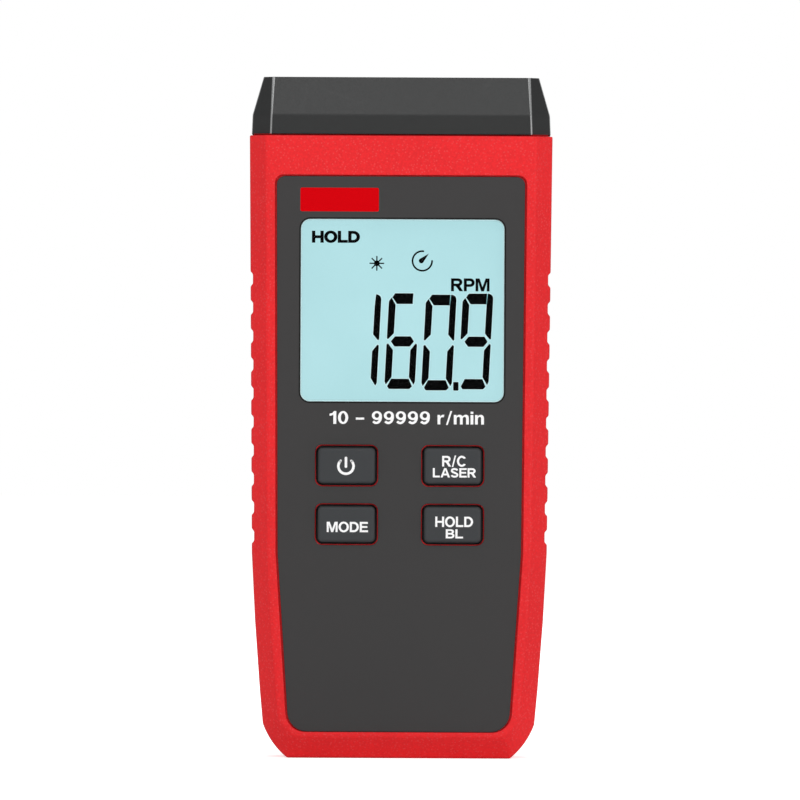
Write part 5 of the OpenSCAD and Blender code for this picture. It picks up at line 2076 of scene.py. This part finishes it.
@dataclass
class Studio:
    """Camera, floor, world and lamps."""

    focal: float = 500.0
    sensor: float = 36.0
    far: float = 50.0
    field_mm: float = 163.54
    aim: Point = (0.0, -13.6, 73.345)
    roll_deg: float = 0.27
    ambient: float = 0.45
    floor_tone: float = 0.96
    floor_lift: float = 0.64
    floor_reach: float = 6.0
    lit_spot: Point = (0.0, 0.0, 0.07)
    lamps: tuple[tuple[str, Point, float, float], ...] = (
        ("key_lamp", (-0.25, -1.8, 1.8), 1.28, 19.6), ("fill_lamp", (0.8, -1.22, 0.14), 0.7, 6.7),
        ("side_lamp", (-0.98, -0.9, 0.12), 0.7, 1.2), ("back_lamp", (0.3, 1.1, 1.1), 0.9, 8.0),
    )

    def build(self) -> None:
        """Sets the stage."""
        scene = bpy.context.scene
        scene.view_settings.view_transform = "Standard"
        self.camera(scene)
        self.world(scene)
        self.floor()
        for name, place, size, watts in self.lamps:
            self.lamp(name, place, size, watts)

    def camera(self, scene: bpy.types.Scene) -> None:
        """Looks straight at the face through a very long lens.

        Args:
            scene: The scene.
        """
        data = bpy.data.cameras.new("camera")
        data.lens = self.focal
        data.sensor_width = self.sensor
        data.clip_end = self.far
        distance = self.field_mm * self.focal / self.sensor
        eye = bpy.data.objects.new("camera", data)
        eye.location = (self.aim[0] * MM, (self.aim[1] - distance) * MM, self.aim[2] * MM)
        turn = Matrix.Rotation(math.pi / 2, 3, "X") @ Matrix.Rotation(math.radians(self.roll_deg), 3, "Z")
        eye.rotation_euler = turn.to_euler()
        scene.collection.objects.link(eye)
        scene.camera = eye

    def world(self, scene: bpy.types.Scene) -> None:
        """Lights softly from all round and shows white behind the part.

        Args:
            scene: The scene.
        """
        world = bpy.data.worlds.new("studio")
        world.use_nodes = True
        world.node_tree.nodes.clear()
        sheet = NodeSheet(world.node_tree)
        seen = self._seen(sheet)
        level = sheet.remap(seen, self.ambient, 1.0)
        back = sheet.add("ShaderNodeBackground", {"Color": (1.0, 1.0, 1.0, 1.0), "Strength": level})
        output = sheet.add("ShaderNodeOutputWorld")
        world.node_tree.links.new(back.outputs[0], output.inputs["Surface"])
        scene.world = world

    @staticmethod
    def _seen(sheet: NodeSheet) -> bpy.types.NodeSocket:
        """Returns 1 for rays that show the surroundings and 0 for rays that light."""
        path = sheet.add("ShaderNodeLightPath").outputs
        return sheet.math("MAXIMUM", path["Is Camera Ray"], path["Is Transmission Ray"])

    def floor(self) -> None:
        """Lays a pale floor that keeps the part's shadow."""
        mesh = bpy.data.meshes.new("floor")
        reach = self.floor_reach
        corners = [(-reach, -reach, 0), (reach, -reach, 0), (reach, reach, 0), (-reach, reach, 0)]
        mesh.from_pydata(corners, [], [(0, 1, 2, 3)])
        piece = placed("floor", mesh)
        material = bpy.data.materials.new("floor")
        material.use_nodes = True
        material.node_tree.nodes.clear()
        sheet = NodeSheet(material.node_tree)
        tone = (self.floor_tone, self.floor_tone, self.floor_tone, 1.0)
        matt = sheet.add("ShaderNodeBsdfDiffuse", {"Color": tone})
        lift = sheet.add("ShaderNodeEmission", {
            "Strength": sheet.math("MULTIPLY", self._seen(sheet), self.floor_lift),
        })
        both = sheet.add("ShaderNodeAddShader", {0: matt.outputs[0], 1: lift.outputs[0]})
        output = sheet.add("ShaderNodeOutputMaterial")
        sheet.tree.links.new(both.outputs[0], output.inputs["Surface"])
        mesh.materials.append(material)

    def lamp(self, name: str, place: Point, size: float, watts: float) -> None:
        """Hangs a soft square lamp that faces the part.

        Args:
            name: Its name.
            place: Where it hangs, in metres.
            size: Its side, in metres.
            watts: Its power.
        """
        data = bpy.data.lights.new(name, "AREA")
        data.size = size
        data.energy = watts
        piece = bpy.data.objects.new(name, data)
        piece.location = place
        aim = Vector(self.lit_spot) - Vector(place)
        piece.rotation_euler = aim.to_track_quat("-Z", "Y").to_euler()
        bpy.context.scene.collection.objects.link(piece)


def main() -> None:
    """Builds every sub-assembly in order."""
    logging.basicConfig(level=logging.INFO, format="%(name)s: %(message)s")
    for part in (Studio(), Housing(), Optics(), Display(), FacePrint(), Keypad(), Power(), Electronics()):
        part.build()
        log.info("%s done", type(part).__name__)


if __name__ == "__main__":
    main()
